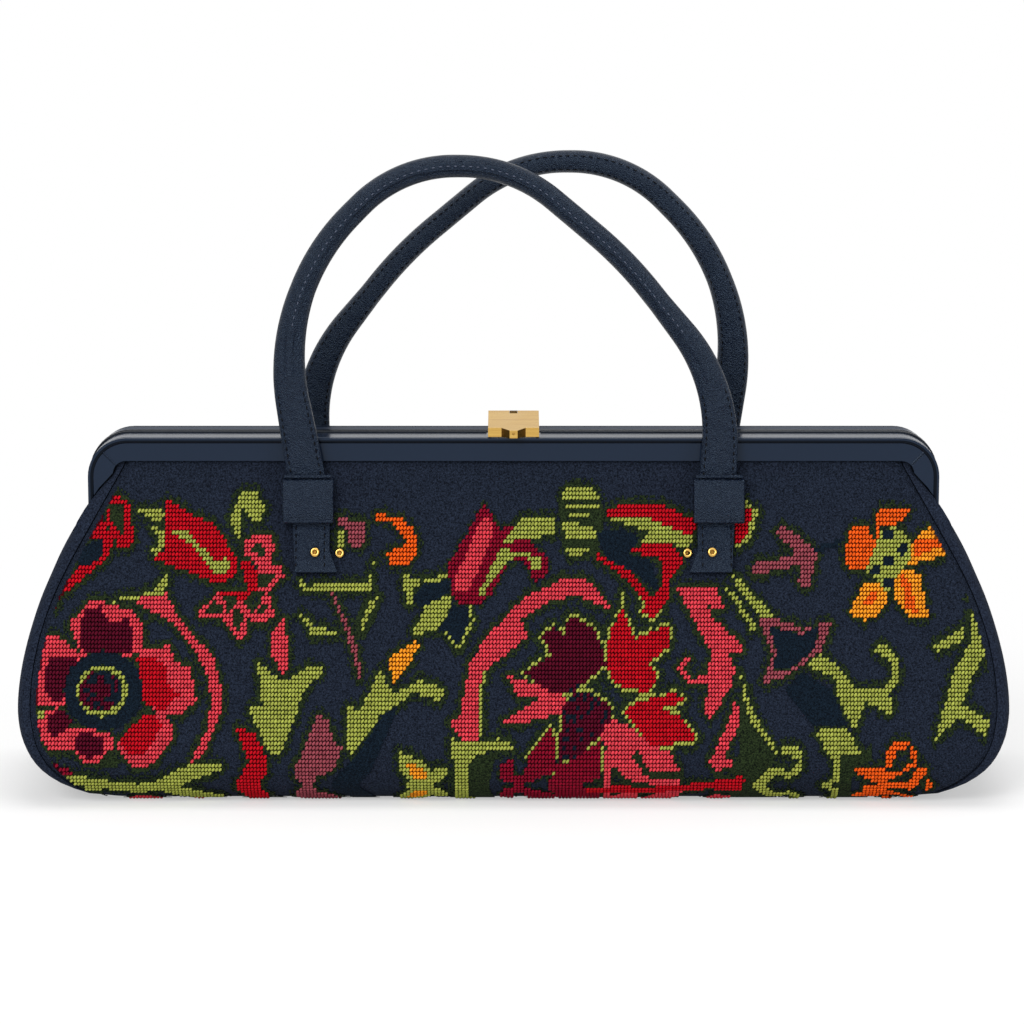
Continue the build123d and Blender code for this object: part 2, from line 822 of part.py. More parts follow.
small_flower = [
    ("scarlet", [(240, 560), (250, 560), (256, 572), (256, 590), (246, 600), (212, 592), (248, 590)]),
    ("coral", [(244, 542), (254, 537), (270, 537), (274, 548), (272, 564), (262, 568), (242, 553)]),
    ("coral", [(258, 566), (282, 566), (284, 576), (268, 592), (256, 594)]),
    ("coral", [(268, 592), (276, 616), (264, 622), (250, 620), (262, 600)]),
    ("coral", [(236, 602), (244, 602), (250, 610), (248, 630), (240, 640), (224, 622)]),
    ("coral", [(200, 612), (218, 592), (226, 600), (228, 618), (200, 618)]),
    ("forest", [(252, 550), (256, 545), (266, 546), (262, 558)]),
    ("forest", [(260, 572), (276, 575), (268, 586), (258, 587)]),
    ("forest", [(256, 611), (268, 602), (268, 610), (262, 614)]),
    ("forest", [(232, 622), (236, 608), (242, 610), (243, 622), (238, 631)]),
    ("forest", [(206, 611), (214, 602), (222, 606), (222, 612)]),
]
thistle = [
    ("coral", [(272, 632), (284, 620), (290, 652), (290, 666), (284, 674), (272, 656)]),
    ("lime", [
        (258, 662), (284, 682), (312, 664), (326, 670), (306, 688), (282, 754), (272, 754), (248, 704),
        (264, 708),
    ]),
    ("mauve", [
        (320, 712), (330, 722), (334, 742), (344, 746), (334, 772), (318, 778), (308, 795), (294, 774),
    ]),
]
dark_square = [
    ("lime", [(298, 576), (306, 586), (366, 584), (374, 562), (370, 590), (302, 590)]),
    ("lime", [(336, 530), (344, 534), (344, 552), (338, 548)]),
    ("mauve", [(338, 518), (366, 524), (362, 550), (350, 550), (348, 530), (338, 524)]),
    ("orange", [
        (376, 515), (396, 517), (410, 526), (418, 540), (416, 556), (408, 566), (390, 566), (386, 554),
        (408, 544), (394, 524), (376, 522),
    ]),
    ("lime", [(300, 614), (316, 626), (338, 632), (338, 637), (312, 636)]),
    ("mauve", [(333, 594), (350, 632), (362, 680), (352, 650)]),
]
long_leaf = [
    ("forest", [(356, 618), (364, 600), (384, 592), (376, 618), (366, 636), (356, 640)]),
    ("lime", [(380, 594), (362, 632), (362, 618), (370, 602)]),
    ("amber", [(388, 658), (414, 641), (420, 648), (402, 672), (394, 684)]),
    ("teal", [(352, 762), (384, 714), (398, 706), (372, 770), (356, 792), (328, 797), (340, 776)]),
    ("lime", [
        (381, 668), (386, 684), (396, 692), (420, 681), (446, 688), (440, 700), (414, 692), (380, 716),
        (350, 760), (346, 704), (360, 712),
    ]),
    ("lime", [(448, 594), (452, 604), (446, 620), (434, 632), (412, 634), (426, 606)]),
    ("lime", [(402, 572), (424, 584), (410, 590), (416, 604), (406, 602)]),
    ("teal", [(424, 584), (448, 580), (450, 592), (422, 608), (412, 600)]),
    ("teal", [(452, 606), (468, 608), (468, 628), (456, 646), (440, 630)]),
    ("lime", [(424, 580), (450, 574), (450, 578), (428, 584)]),
    ("orange", [(372, 811), (384, 792), (404, 790), (410, 811)]),
    ("lime", [
        (398, 742), (404, 754), (420, 758), (430, 772), (446, 768), (448, 776), (436, 786), (418, 792),
        (400, 790), (414, 786), (400, 770),
    ]),
    ("amber", [(404, 762), (414, 764), (428, 776), (426, 784), (416, 784)]),
]
crimson_bud = [
    ("crimson", [
        (484, 503), (500, 530), (526, 524), (524, 536), (550, 562), (546, 576), (534, 582), (524, 560),
        (508, 562), (490, 596), (476, 606), (462, 606), (452, 596), (448, 566), (474, 522),
    ]),
    ("coral", [(484, 522), (492, 540), (466, 566), (462, 590), (454, 594), (456, 574)]),
    ("lime", [
        (500, 548), (540, 556), (540, 570), (532, 570), (528, 556), (508, 560), (484, 594), (476, 598),
    ]),
    ("lime", [(520, 520), (554, 520), (556, 536), (524, 538), (500, 546)]),
]
striped_oval = [
    ("forest", [
        (558, 500), (568, 490), (590, 490), (604, 506), (602, 540), (594, 556), (578, 562), (562, 548),
    ]),
    ("lime", [(566, 488), (592, 488), (600, 498), (560, 500)]),
    ("lime", [(562, 503), (600, 503), (600, 508), (564, 507)]),
    ("lime", [(574, 512), (588, 512), (592, 519), (566, 519)]),
    ("lime", [(560, 522), (574, 522), (598, 530), (596, 538), (566, 538)]),
    ("lime", [(564, 546), (592, 548), (580, 558), (568, 554)]),
]
curling_leaf = [
    ("scarlet", [
        (606, 512), (620, 505), (658, 504), (697, 522), (694, 534), (670, 536), (655, 524), (606, 518),
    ]),
    ("lime", [(606, 518), (650, 519), (694, 538), (684, 552), (672, 542), (640, 545), (650, 532)]),
    ("scarlet", [
        (630, 552), (650, 542), (670, 544), (686, 560), (668, 580), (668, 598), (654, 616), (638, 614),
        (660, 590), (664, 560),
    ]),
    ("teal", [
        (596, 532), (622, 530), (640, 538), (628, 556), (650, 560), (660, 592), (634, 572), (606, 560),
    ]),
    ("scarlet", [(596, 552), (630, 572), (652, 598), (650, 612), (628, 580), (598, 560)]),
    ("lime", [(744, 498), (758, 512), (752, 540), (736, 548)]),
    ("scarlet", [(742, 504), (752, 512), (746, 538), (735, 544), (734, 524)]),
]
centre_arc = [
    ("coral", [
        (562, 580), (580, 577), (592, 584), (614, 612), (580, 596), (552, 600), (520, 620), (528, 636),
        (484, 672), (478, 742), (470, 750), (450, 722), (460, 716), (470, 664), (484, 640), (524, 598),
    ]),
]
centre_flower = [
    ("coral", [
        (508, 677), (520, 678), (566, 697), (562, 712), (518, 724), (504, 720), (540, 698), (516, 694),
    ]),
    ("coral", [
        (612, 720), (624, 722), (650, 744), (668, 750), (684, 782), (664, 784), (636, 752), (638, 786),
        (632, 790), (612, 766), (610, 790), (604, 788), (604, 756),
    ]),
    ("maroon", [
        (542, 636), (552, 628), (564, 634), (570, 616), (596, 632), (606, 664), (572, 692), (548, 690),
        (524, 672), (552, 656),
    ]),
    ("scarlet", [
        (610, 630), (622, 610), (634, 640), (668, 626), (670, 645), (646, 664), (658, 674), (648, 692),
        (614, 684), (606, 664),
    ]),
    ("scarlet", [
        (632, 704), (674, 692), (684, 700), (660, 708), (680, 716), (696, 740), (650, 744), (624, 712),
    ]),
    ("maroon", [(562, 706), (572, 694), (586, 690), (610, 706), (610, 720), (584, 750), (558, 764)]),
    ("crimson", [
        (530, 752), (552, 724), (557, 768), (600, 740), (600, 780), (570, 792), (548, 811), (546, 790),
        (556, 772), (520, 789), (504, 784), (498, 772), (502, 762), (514, 760), (512, 776), (524, 776),
    ]),
    ("forest", [(470, 756), (496, 752), (484, 811), (468, 811)]),
    ("lime", [
        (452, 738), (476, 742), (500, 738), (514, 744), (512, 750), (480, 752), (468, 768), (468, 811),
        (456, 811),
    ]),
]
right_arc = [
    ("coral", [
        (676, 588), (716, 590), (726, 610), (706, 606), (712, 618), (746, 650), (728, 652), (734, 668),
        (732, 684), (708, 720), (704, 710), (710, 652),
    ]),
    ("coral", [
        (684, 657), (692, 658), (682, 670), (690, 678), (706, 676), (708, 684), (688, 684), (676, 670),
    ]),
    ("coral", [
        (732, 698), (738, 710), (736, 730), (722, 756), (736, 764), (716, 772), (708, 762), (730, 714),
    ]),
    ("lime", [(732, 576), (744, 584), (772, 616), (764, 620), (736, 586)]),
    ("lime", [(720, 580), (738, 600), (756, 628), (752, 632)]),
    ("forest", [(738, 690), (774, 758), (768, 772), (744, 811), (740, 811), (730, 770), (738, 752)]),
    ("lime", [(738, 668), (752, 712), (776, 750), (774, 756), (746, 714)]),
    ("lime", [
        (776, 750), (790, 742), (802, 752), (800, 770), (790, 780), (774, 776), (744, 811), (734, 811),
        (770, 766), (790, 774), (796, 760), (782, 752),
    ]),
    ("scarlet", [(738, 780), (742, 786), (730, 811), (640, 811), (660, 794)]),
]
right_sprays = [
    ("mauve", [
        (758, 618), (790, 622), (802, 630), (832, 620), (820, 650), (786, 676), (760, 684), (772, 656),
    ]),
    ("teal", [(768, 626), (800, 634), (818, 626), (814, 648), (790, 668), (772, 668), (776, 652)]),
    ("mauve", [(780, 530), (808, 544), (816, 566), (806, 584), (800, 564), (756, 572), (800, 552)]),
    ("teal", [(785, 690), (800, 672), (830, 690), (845, 725), (812, 725)]),
    ("lime", [
        (804, 666), (818, 654), (832, 662), (852, 688), (880, 690), (890, 680), (892, 662), (870, 648),
        (884, 645), (898, 658), (898, 682), (888, 692), (890, 714), (864, 702), (852, 730), (838, 700),
        (832, 676),
    ]),
    ("lime", [
        (812, 730), (844, 728), (860, 752), (840, 752), (838, 784), (814, 794), (832, 782), (832, 762),
    ]),
    ("forest", [(838, 752), (862, 752), (870, 740), (870, 760), (852, 772), (848, 811), (836, 811)]),
    ("lime", [
        (968, 598), (988, 668), (980, 656), (960, 704), (994, 726), (982, 734), (956, 716), (932, 740),
        (952, 672), (970, 640),
    ]),
    ("lime", [(932, 646), (962, 628), (964, 640), (936, 652)]),
]
orange_flower = [
    ("orange", [(852, 528), (868, 526), (872, 538), (882, 550), (866, 572), (850, 570), (844, 556)]),
    ("orange", [(876, 520), (880, 510), (912, 510), (894, 528), (880, 528), (878, 538)]),
    ("amber", [(914, 540), (936, 524), (948, 548), (944, 556), (904, 567), (900, 564)]),
    ("amber", [(898, 568), (920, 574), (928, 618), (910, 618), (892, 598)]),
    ("amber", [(864, 582), (876, 582), (888, 598), (876, 616), (864, 620), (848, 614)]),
    ("orange", [(916, 540), (936, 538), (944, 546), (916, 556)]),
    ("orange", [(900, 574), (908, 580), (918, 614), (906, 608)]),
    ("orange", [(870, 590), (878, 596), (872, 606), (862, 606)]),
    ("lime", [
        (882, 530), (896, 528), (912, 540), (912, 558), (898, 574), (888, 594), (866, 570), (872, 556),
    ]),
    ("orange", [
        (850, 770), (884, 768), (882, 752), (890, 742), (906, 742), (916, 750), (916, 766), (878, 788),
    ]),
    ("bare", [(894, 750), (906, 746), (910, 762), (898, 772), (868, 774), (890, 768)]),
    ("orange", [(890, 811), (896, 788), (904, 784), (908, 811)]),
    ("orange", [(914, 811), (928, 780), (932, 790), (946, 789), (930, 811)]),
]
back_chart = left_flower + tulip + left_arc + centre_arc + centre_flower + right_arc + orange_flower
front_chart = back_chart + left_sprays + small_flower + thistle + dark_square + long_leaf
front_chart += crimson_bud + striped_oval + curling_leaf + right_sprays

def wool_face(lift):
    """Side view of the wool's inner or outer face: up the panel, and flat by flat round the heel."""
    turn = math.radians(heel_turn / heel_flats)
    corner = (heel_radius + lift) / math.cos(turn / 2)
    points = [(panel_y(cloth_top) + lift / math.cos(lean), cloth_top)]
    for flat in range(heel_flats):
        angle = lean - (flat + 0.5) * turn
        points.append((base_half_depth + corner * math.cos(angle), heel_radius + corner * math.sin(angle)))
    last = lean - heel_flats * turn
    points.append(
        (
            base_half_depth + (heel_radius + lift) * math.cos(last),
            heel_radius + (heel_radius + lift) * math.sin(last),
        )
    )
    return [(-y, z) for y, z in points]


# Pile layer: the skin of the front panel that wool may fill, clear of the straps, keepers and rivets
with BuildPart() as pile_layer:
    with BuildSketch(Plane.YZ):
        with BuildLine():
            Polyline(*wool_face(0), *reversed(wool_face(pile)), close=True)
        make_face()
    extrude(amount=reach, both=True)
    with BuildSketch(Plane.XZ):
        with BuildLine():
            Polyline(*needlework_edge, *[(-x, z) for x, z in reversed(needlework_edge)], close=True)
        make_face()
    extrude(amount=reach, mode=Mode.INTERSECT)
    with BuildSketch(front_panel):
        for side in (-1, 1):
            with BuildLine():
                tab_outline(side, pile_margin)
            make_face()
            with Locations((side * side_rivet_x, slope_length(rivet_height))):
                RegularPolygon(rivet_head_radius + pile_margin, 8, major_radius=False)
    extrude(amount=2 * pile, both=True, mode=Mode.SUBTRACT)
    with BuildSketch(Plane.XZ):
        with Locations((-keeper_x, sum(keeper_levels) / 2), (keeper_x, sum(keeper_levels) / 2)):
            Rectangle(
                strap_width + 2 * (keeper_clearance + keeper_leather + pile_margin),
                keeper_levels[1] - keeper_levels[0] + 2 * pile_margin,
            )
    extrude(amount=reach, mode=Mode.SUBTRACT)


def fields_meet(first, second):
    """Whether the boxes round two outlines overlap."""
    return all(
        min(a) < max(b) and min(b) < max(a) for a, b in zip(zip(*first), zip(*second))
    )


def colour_fields(chart, colour):
    """Front view of all the wool of one colour, less what later fields cover."""
    own = []
    with BuildSketch(Plane.XZ) as fields:
        for field_colour, outline in chart:
            if field_colour == colour:
                own.append(outline)
            elif not any(fields_meet(outline, earlier) for earlier in own):
                continue
            with BuildLine():
                points = [((x - chart_centre) * chart_x, (chart_base - y) * chart_z) for x, y in outline]
                Polyline(*points, close=True)
            make_face(mode=Mode.ADD if field_colour == colour else Mode.SUBTRACT)
    return fields.sketch


def wool_solids(chart, colour):
    """Wool of one colour on the front panel, without scraps too small for a stitch or two."""
    with BuildPart() as worked:
        extrude(colour_fields(chart, colour), amount=reach)
        add(pile_layer.part, mode=Mode.INTERSECT)
    return [solid for solid in worked.solids() if solid.volume > smallest_field * pile]


for colour in ("scarlet", "crimson", "maroon", "coral", "lime", "forest", "teal", "mauve", "orange", "amber"):
    solids = wool_solids(front_chart, colour)
    if colour in [field_colour for field_colour, outline in back_chart]:
        solids += [solid.rotate(Axis.Z, 180) for solid in wool_solids(back_chart, colour)]
    with BuildPart() as wool:
        add(solids)
    wool.part.label = f"pile_{colour}"
    export_step(wool.part, f"parts/pile_{colour}.step")
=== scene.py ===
"""Long frame handbag in navy carpet cloth with needlework flowers, dressed round its CAD frame."""
import math

import bmesh
import bpy
import numpy as np
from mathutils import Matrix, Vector
from mathutils.bvhtree import BVHTree


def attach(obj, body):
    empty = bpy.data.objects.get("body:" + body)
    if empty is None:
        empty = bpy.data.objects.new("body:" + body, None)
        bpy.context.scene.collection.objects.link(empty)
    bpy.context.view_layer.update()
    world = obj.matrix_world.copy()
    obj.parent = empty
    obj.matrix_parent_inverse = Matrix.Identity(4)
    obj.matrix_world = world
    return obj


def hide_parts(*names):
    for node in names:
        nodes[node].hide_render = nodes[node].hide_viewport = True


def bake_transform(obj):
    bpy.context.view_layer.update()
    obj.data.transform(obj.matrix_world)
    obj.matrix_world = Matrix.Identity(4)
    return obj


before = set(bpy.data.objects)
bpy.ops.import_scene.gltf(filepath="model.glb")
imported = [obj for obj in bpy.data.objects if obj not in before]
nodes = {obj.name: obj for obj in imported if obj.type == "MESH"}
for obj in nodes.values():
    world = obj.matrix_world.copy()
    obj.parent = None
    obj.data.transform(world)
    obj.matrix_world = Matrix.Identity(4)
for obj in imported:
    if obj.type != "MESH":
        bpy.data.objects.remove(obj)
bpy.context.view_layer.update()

# Studio: a pale floor that runs out into white, and soft lamps in front of the bag and above it.
# The camera stands well back and a little above the rim, as the bag was photographed.
scene = bpy.context.scene
scene.view_settings.view_transform = "Standard"


def linear(red, green, blue):
    """Linear colour from the usual steps of 0 to 255."""
    steps = [value / 255 for value in (red, green, blue)]
    return [s / 12.92 if s <= 0.04045 else ((s + 0.055) / 1.055) ** 2.4 for s in steps] + [1.0]


def add_node(tree, kind, inputs=None, **settings):
    """New node with its settings and input values."""
    made = tree.nodes.new(kind)
    for name, value in settings.items():
        setattr(made, name, value)
    for name, value in (inputs or {}).items():
        made.inputs[name].default_value = value
    return made


def join(tree, source, output, target, socket):
    """Link from one node's output to another's input."""
    tree.links.new(source.outputs[output], target.inputs[socket])


def seen_ray(tree):
    """1 for the rays that see the background, straight on, in gloss or through glass."""
    path = add_node(tree, "ShaderNodeLightPath")
    straight = add_node(tree, "ShaderNodeMath", operation="MAXIMUM")
    either = add_node(tree, "ShaderNodeMath", operation="MAXIMUM")
    join(tree, path, "Is Camera Ray", straight, 0)
    join(tree, path, "Is Glossy Ray", straight, 1)
    join(tree, straight, 0, either, 0)
    join(tree, path, "Is Transmission Ray", either, 1)
    return either.outputs[0]


studio = bpy.data.worlds.new("studio")
scene.world = studio
studio.use_nodes = True
tree = studio.node_tree
tree.nodes.clear()
ambient = add_node(tree, "ShaderNodeBackground", {"Color": (1, 1, 1, 1), "Strength": 0.42})
backdrop = add_node(tree, "ShaderNodeBackground", {"Color": (1, 1, 1, 1), "Strength": 1.0})
choose = add_node(tree, "ShaderNodeMixShader")
tree.links.new(seen_ray(tree), choose.inputs[0])
join(tree, ambient, 0, choose, 1)
join(tree, backdrop, 0, choose, 2)
tree.links.new(choose.outputs[0], add_node(tree, "ShaderNodeOutputWorld").inputs[0])

floor_paint = bpy.data.materials.new("pale_floor")
floor_paint.use_nodes = True
tree = floor_paint.node_tree
tree.nodes.clear()
matt = add_node(tree, "ShaderNodeBsdfDiffuse", {"Color": (0.9, 0.9, 0.9, 1)})
glow = add_node(tree, "ShaderNodeEmission", {"Color": (1, 1, 1, 1), "Strength": 1.0})
spot = add_node(tree, "ShaderNodeTexCoord")
reach = add_node(tree, "ShaderNodeVectorMath", operation="LENGTH")
fade = add_node(
    tree,
    "ShaderNodeMapRange",
    {"From Min": 0.22, "From Max": 0.5, "To Min": 0.45, "To Max": 1.0},
    interpolation_type="SMOOTHSTEP",
)
share = add_node(tree, "ShaderNodeMath", operation="MULTIPLY")
mix = add_node(tree, "ShaderNodeMixShader")
join(tree, spot, "Object", reach, 0)
join(tree, reach, "Value", fade, "Value")
tree.links.new(seen_ray(tree), share.inputs[0])
join(tree, fade, "Result", share, 1)
join(tree, share, 0, mix, 0)
join(tree, matt, 0, mix, 1)
join(tree, glow, 0, mix, 2)
tree.links.new(mix.outputs[0], add_node(tree, "ShaderNodeOutputMaterial").inputs[0])

floor_mesh = bpy.data.meshes.new("floor")
floor_mesh.from_pydata([(-6, -6, 0), (6, -6, 0), (6, 6, 0), (-6, 6, 0)], [], [(0, 1, 2, 3)])
floor_mesh.materials.append(floor_paint)
floor = bpy.data.objects.new("floor", floor_mesh)
scene.collection.objects.link(floor)

bag_middle = Vector((0, 0, 0.09))
for name, place, size, power in (
    ("front_lamp", (-1.1, -2.3, 1.7), 1.4, 52),
    ("top_lamp", (0.15, 0.1, 1.9), 1.5, 19),
    ("side_lamp", (1.9, -1.3, 1.1), 1.0, 14),
):
    lamp = bpy.data.lights.new(name, "AREA")
    lamp.size = size
    lamp.energy = power
    stand = bpy.data.objects.new(name, lamp)
    stand.location = place
    stand.rotation_euler = (bag_middle - Vector(place)).to_track_quat("-Z", "Y").to_euler()
    scene.collection.objects.link(stand)

camera_place = Vector((-0.0006, -1.398, 0.3516))
camera_aim = Vector((-0.0006, -0.019, 0.1085))
camera = bpy.data.objects.new("camera", bpy.data.cameras.new("camera"))
camera.data.lens = 129.5
camera.data.sensor_width = 36
camera.location = camera_place
camera.rotation_euler = (camera_aim - camera_place).to_track_quat("-Z", "Y").to_euler()
scene.collection.objects.link(camera)
scene.camera = camera

# Base board: a loose sheet of grey-brown board that stiffens the bottom of the bag.
# It lies inside the lining and shows only when the bag is open.


def principled(name, colour, roughness, **constants):
    """Material with one Principled shader; returns it with its node tree and shader."""
    made = bpy.data.materials.new(name)
    made.use_nodes = True
    shader = made.node_tree.nodes["Principled BSDF"]
    shader.inputs["Base Color"].default_value = linear(*colour)
    shader.inputs["Roughness"].default_value = roughness
    for socket, value in constants.items():
        shader.inputs[socket.replace("_", " ")].default_value = value
    return made, made.node_tree, shader


def mottle(tree, shader, scale, dark, light, detail=2.0):
    """Colour that wanders between a dark and a light tone, in spots about 1/scale metres wide."""
    spot = add_node(tree, "ShaderNodeTexCoord")
    noise = add_node(tree, "ShaderNodeTexNoise", {"Scale": scale, "Detail": detail, "Roughness": 0.6})
    ramp = add_node(tree, "ShaderNodeValToRGB")
    ramp.color_ramp.elements[0].position = 0.34
    ramp.color_ramp.elements[0].color = linear(*dark)
    ramp.color_ramp.elements[1].position = 0.68
    ramp.color_ramp.elements[1].color = linear(*light)
    join(tree, spot, "Object", noise, "Vector")
    join(tree, noise, "Fac", ramp, "Fac")
    join(tree, ramp, "Color", shader, "Base Color")
    return spot, noise, ramp


def bump(tree, shader, height, strength, distance):
    """Surface relief from a height."""
    relief = add_node(tree, "ShaderNodeBump", {"Strength": strength, "Distance": distance})
    tree.links.new(height, relief.inputs["Height"])
    join(tree, relief, "Normal", shader, "Normal")


def dress(node, paint):
    """Give a CAD node its finish."""
    nodes[node].data.materials.clear()
    nodes[node].data.materials.append(paint)


board_paint, tree, shader = principled("grey_board", (120, 100, 78), 0.9)
mottle(tree, shader, 260, (104, 86, 66), (134, 114, 90))
dress("base_board", board_paint)

# Lining: the inner bag of plain woven cotton, sewn into the frame's channels with the cover.
# Each half turns with its own half of the frame, and the ends overlap so that the mouth stays closed.
lean = math.radians(17.8)
base_half_depth = 27.0
heel_radius = 20.0
heel_y = base_half_depth + heel_radius * math.cos(lean)
heel_z = heel_radius * (1 + math.sin(lean))
hinge_height = 84.0
halves = (("front", "front_frame"), ("rear", "rear_frame"))
flap_least = 2.0
flap_most = 12.0
lining_gap = 5.4
lining_thickness = 0.7
lining_foot = 6.0
lining_top = 128.0
lining_end_top = 102.0
lining_end_tuck = 1.4
lining_levels = [lining_foot, 14.0, 24.0, 58.0, 77.0, lining_top]
lining_half_widths = [146.0, 158.0, 163.0, 164.5, 151.9, 151.9]
lining_floor_half_width = 147.0
lining_floor_half_depth = 33.0
lining_floor_height = 5.9


def panel_y(height):
    """Distance of the cover's outer face from the middle plane at a height."""
    low = base_half_depth + np.sqrt(np.maximum(heel_radius**2 - (heel_radius - height) ** 2, 0))
    return np.where(height < heel_z, low, heel_y - (height - heel_z) * math.tan(lean))


def add_piece(name, mesh, paint):
    """New object at the origin with a mesh and a finish."""
    mesh.materials.clear()
    mesh.materials.append(paint)
    piece = bpy.data.objects.new(name, mesh)
    scene.collection.objects.link(piece)
    return piece


def cloth_sheet(name, face, thickness, paint):
    """Cloth with its outer face on a grid of points in millimetres, rows upwards and columns rightwards."""
    across = np.gradient(face, axis=1)
    up = np.gradient(face, axis=0)
    out = np.cross(across, up)
    out /= np.maximum(np.linalg.norm(out, axis=2, keepdims=True), 1e-9)
    rows, columns = face.shape[:2]
    points = np.concatenate([face.reshape(-1, 3), (face - thickness * out).reshape(-1, 3)])
    front = np.arange(rows * columns).reshape(rows, columns)
    back = front + rows * columns

    def quads(a, b, c, d):
        return np.stack([a, b, c, d], axis=-1).reshape(-1, 4)

    faces = np.concatenate(
        [
            quads(front[:-1, :-1], front[:-1, 1:], front[1:, 1:], front[1:, :-1]),
            quads(back[:-1, :-1], back[1:, :-1], back[1:, 1:], back[:-1, 1:]),
            quads(back[0, :-1], back[0, 1:], front[0, 1:], front[0, :-1]),
            quads(front[-1, :-1], front[-1, 1:], back[-1, 1:], back[-1, :-1]),
            quads(back[1:, 0], back[:-1, 0], front[:-1, 0], front[1:, 0]),
            quads(back[:-1, -1], back[1:, -1], front[1:, -1], front[:-1, -1]),
        ]
    )
    mesh = bpy.data.meshes.new(name)
    mesh.from_pydata((points / 1000).tolist(), [], faces.tolist())
    mesh.polygons.foreach_set("use_smooth", [True] * len(mesh.polygons))
    mesh.set_sharp_from_angle(angle=math.radians(55))
    return add_piece(name, mesh, paint)


def turned(points):
    """The same points on the other side of the bag, half a turn about the upright axis."""
    return points * np.array([-1, -1, 1])


def on_side(side, points):
    """Points of the front half as they are, or turned to the rear half."""
    return turned(points) if side == "rear" else points


def end_flap(height, top):
    """How far the cloth of an end reaches past the middle, sagging between the hinge and its upper edge."""
    reach = np.clip(np.minimum(height - hinge_height + flap_least, top + 1 - height), flap_least, flap_most)
    return np.where(height > hinge_height, reach, flap_least)


def sew_in(piece, node):
    """Cloth in place of a CAD node, with its place baked into its mesh."""
    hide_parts(node)
    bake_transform(piece)


def fix_to(piece, node, body):
    """Piece in place of a CAD node, moving with one body."""
    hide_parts(node)
    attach(piece, body)


lining_cloth, tree, shader = principled("lining_cotton", (52, 55, 66), 0.85, Sheen_Weight=0.2)
_, noise, _ = mottle(tree, shader, 900, (44, 47, 58), (60, 63, 75))
bump(tree, shader, noise.outputs["Fac"], 0.3, 0.0002)

wall = np.linspace(0, 1, 12)
plan_side = np.concatenate([np.full(12, -1.0), np.linspace(-1, 1, 40)[1:-1], np.full(12, 1.0)])
plan_turn = np.concatenate([1 - wall, np.zeros(38), wall])
rise = np.linspace(0, 1, 30)[:, None]
before = np.clip(plan_turn * 2, 0, 1)[None, :]
past = np.clip(plan_turn * 2 - 1, 0, 1)[None, :]
top = lining_top - (lining_top - lining_end_top) * before
height = lining_foot + (top - lining_foot) * rise
half = np.interp(height, lining_levels, lining_half_widths)
depth = panel_y(height) - lining_gap
lining_x = plan_side[None, :] * (half - lining_end_tuck * np.minimum(past * 4, 1))
lining_y = -depth * (1 - before) + end_flap(height, lining_end_top) * past
lining_face = np.stack([lining_x, lining_y, height], axis=2)
for side, body in halves:
    half_bag = cloth_sheet(f"lining_{side}", on_side(side, lining_face), lining_thickness, lining_cloth)
    sew_in(half_bag, "lining")

floor_x, floor_y = np.meshgrid(
    np.linspace(-lining_floor_half_width, lining_floor_half_width, 30),
    np.linspace(-lining_floor_half_depth, lining_floor_half_depth, 8),
)
floor_face = np.stack([floor_x, floor_y, np.full(floor_x.shape, lining_floor_height)], axis=2)
lining_floor = cloth_sheet("lining_floor", floor_face, lining_thickness, lining_cloth)
fix_to(lining_floor, "lining", "bag")

# Carpet cover: one length of thick felted wool that makes the front, the base and the back.
# Its upper edges are clamped in the frame, and its ends are seamed to the gussets.
cover_thickness = 2.2
cover_top = 130.5
seam_tuck = 1.3
seam_foot = 0.3
seam_neck = 124.0
seam_top = 131.0
seam_probe_x = 300.0
seam_probe_depth = 1.2
heel_length = heel_radius * (lean + math.pi / 2)


def on_cover(length):
    """Distance from the middle plane, height and outward direction, at a length up from the heel."""
    angle = np.clip(lean + np.minimum(length, 0) / heel_radius, -math.pi / 2, lean)
    under = np.minimum(length + heel_length, 0)
    rise = np.maximum(length, 0)
    depth = base_half_depth + heel_radius * np.cos(angle) + under - rise * math.sin(lean)
    height = heel_radius * (1 + np.sin(angle)) + rise * math.cos(lean)
    return depth, height, np.cos(angle), np.sin(angle)


def billow(x, length):
    """Soft hollows and swells of the cloth, in millimetres."""
    return 0.22 * np.sin(x / 31 + 1.3) * np.sin(length / 23 + 0.7) + 0.12 * np.sin(x / 15 + length / 19)


def cover_points(x, length, lift):
    """Points on the front of the cover, lifted off it by a distance."""
    depth, height, out_y, out_z = on_cover(length)
    lift = lift + billow(x, length) * np.clip((length + 10) / 15, 0, 1)
    return np.stack([x + 0 * length, -(depth + lift * out_y), height + lift * out_z], axis=-1)


def solid_tree(name):
    """Search tree of a CAD node's surface."""
    mesh = nodes[name].data
    return BVHTree.FromPolygons([v.co for v in mesh.vertices], [p.vertices[:] for p in mesh.polygons])


def felt(name, dark, light, relief=0.8):
    """Felted wool: fine nubs in two tones of one colour."""
    made, tree, shader = principled(name, light, 0.95, Specular_IOR_Level=0.06)
    spot, _, _ = mottle(tree, shader, 1600, dark, light)
    nubs = add_node(tree, "ShaderNodeTexVoronoi", {"Scale": 1600})
    join(tree, spot, "Object", nubs, "Vector")
    bump(tree, shader, nubs.outputs["Distance"], relief, -0.0005)
    return made


cover_solid = solid_tree("carpet_cover")
seam_heights = np.arange(seam_foot, seam_top, 1.0)
seam_half_widths = []
for z in seam_heights:
    beyond = Vector((seam_probe_x / 1000, float(seam_probe_depth - panel_y(z)) / 1000, z / 1000))
    seam_half_widths.append(1000 * cover_solid.ray_cast(beyond, Vector((-1, 0, 0)))[0].x)


def seam_x(height):
    """Half the width of the cover at a height, where it meets the gussets, with the corners eased."""
    ease = np.clip(np.minimum(height - seam_foot, seam_neck - height) / 2, 0, 5)
    shares = (-1, -0.6, -0.2, 0.2, 0.6, 1)
    widths = [np.interp(height + share * ease, seam_heights, seam_half_widths) for share in shares]
    return sum(widths) / len(widths)


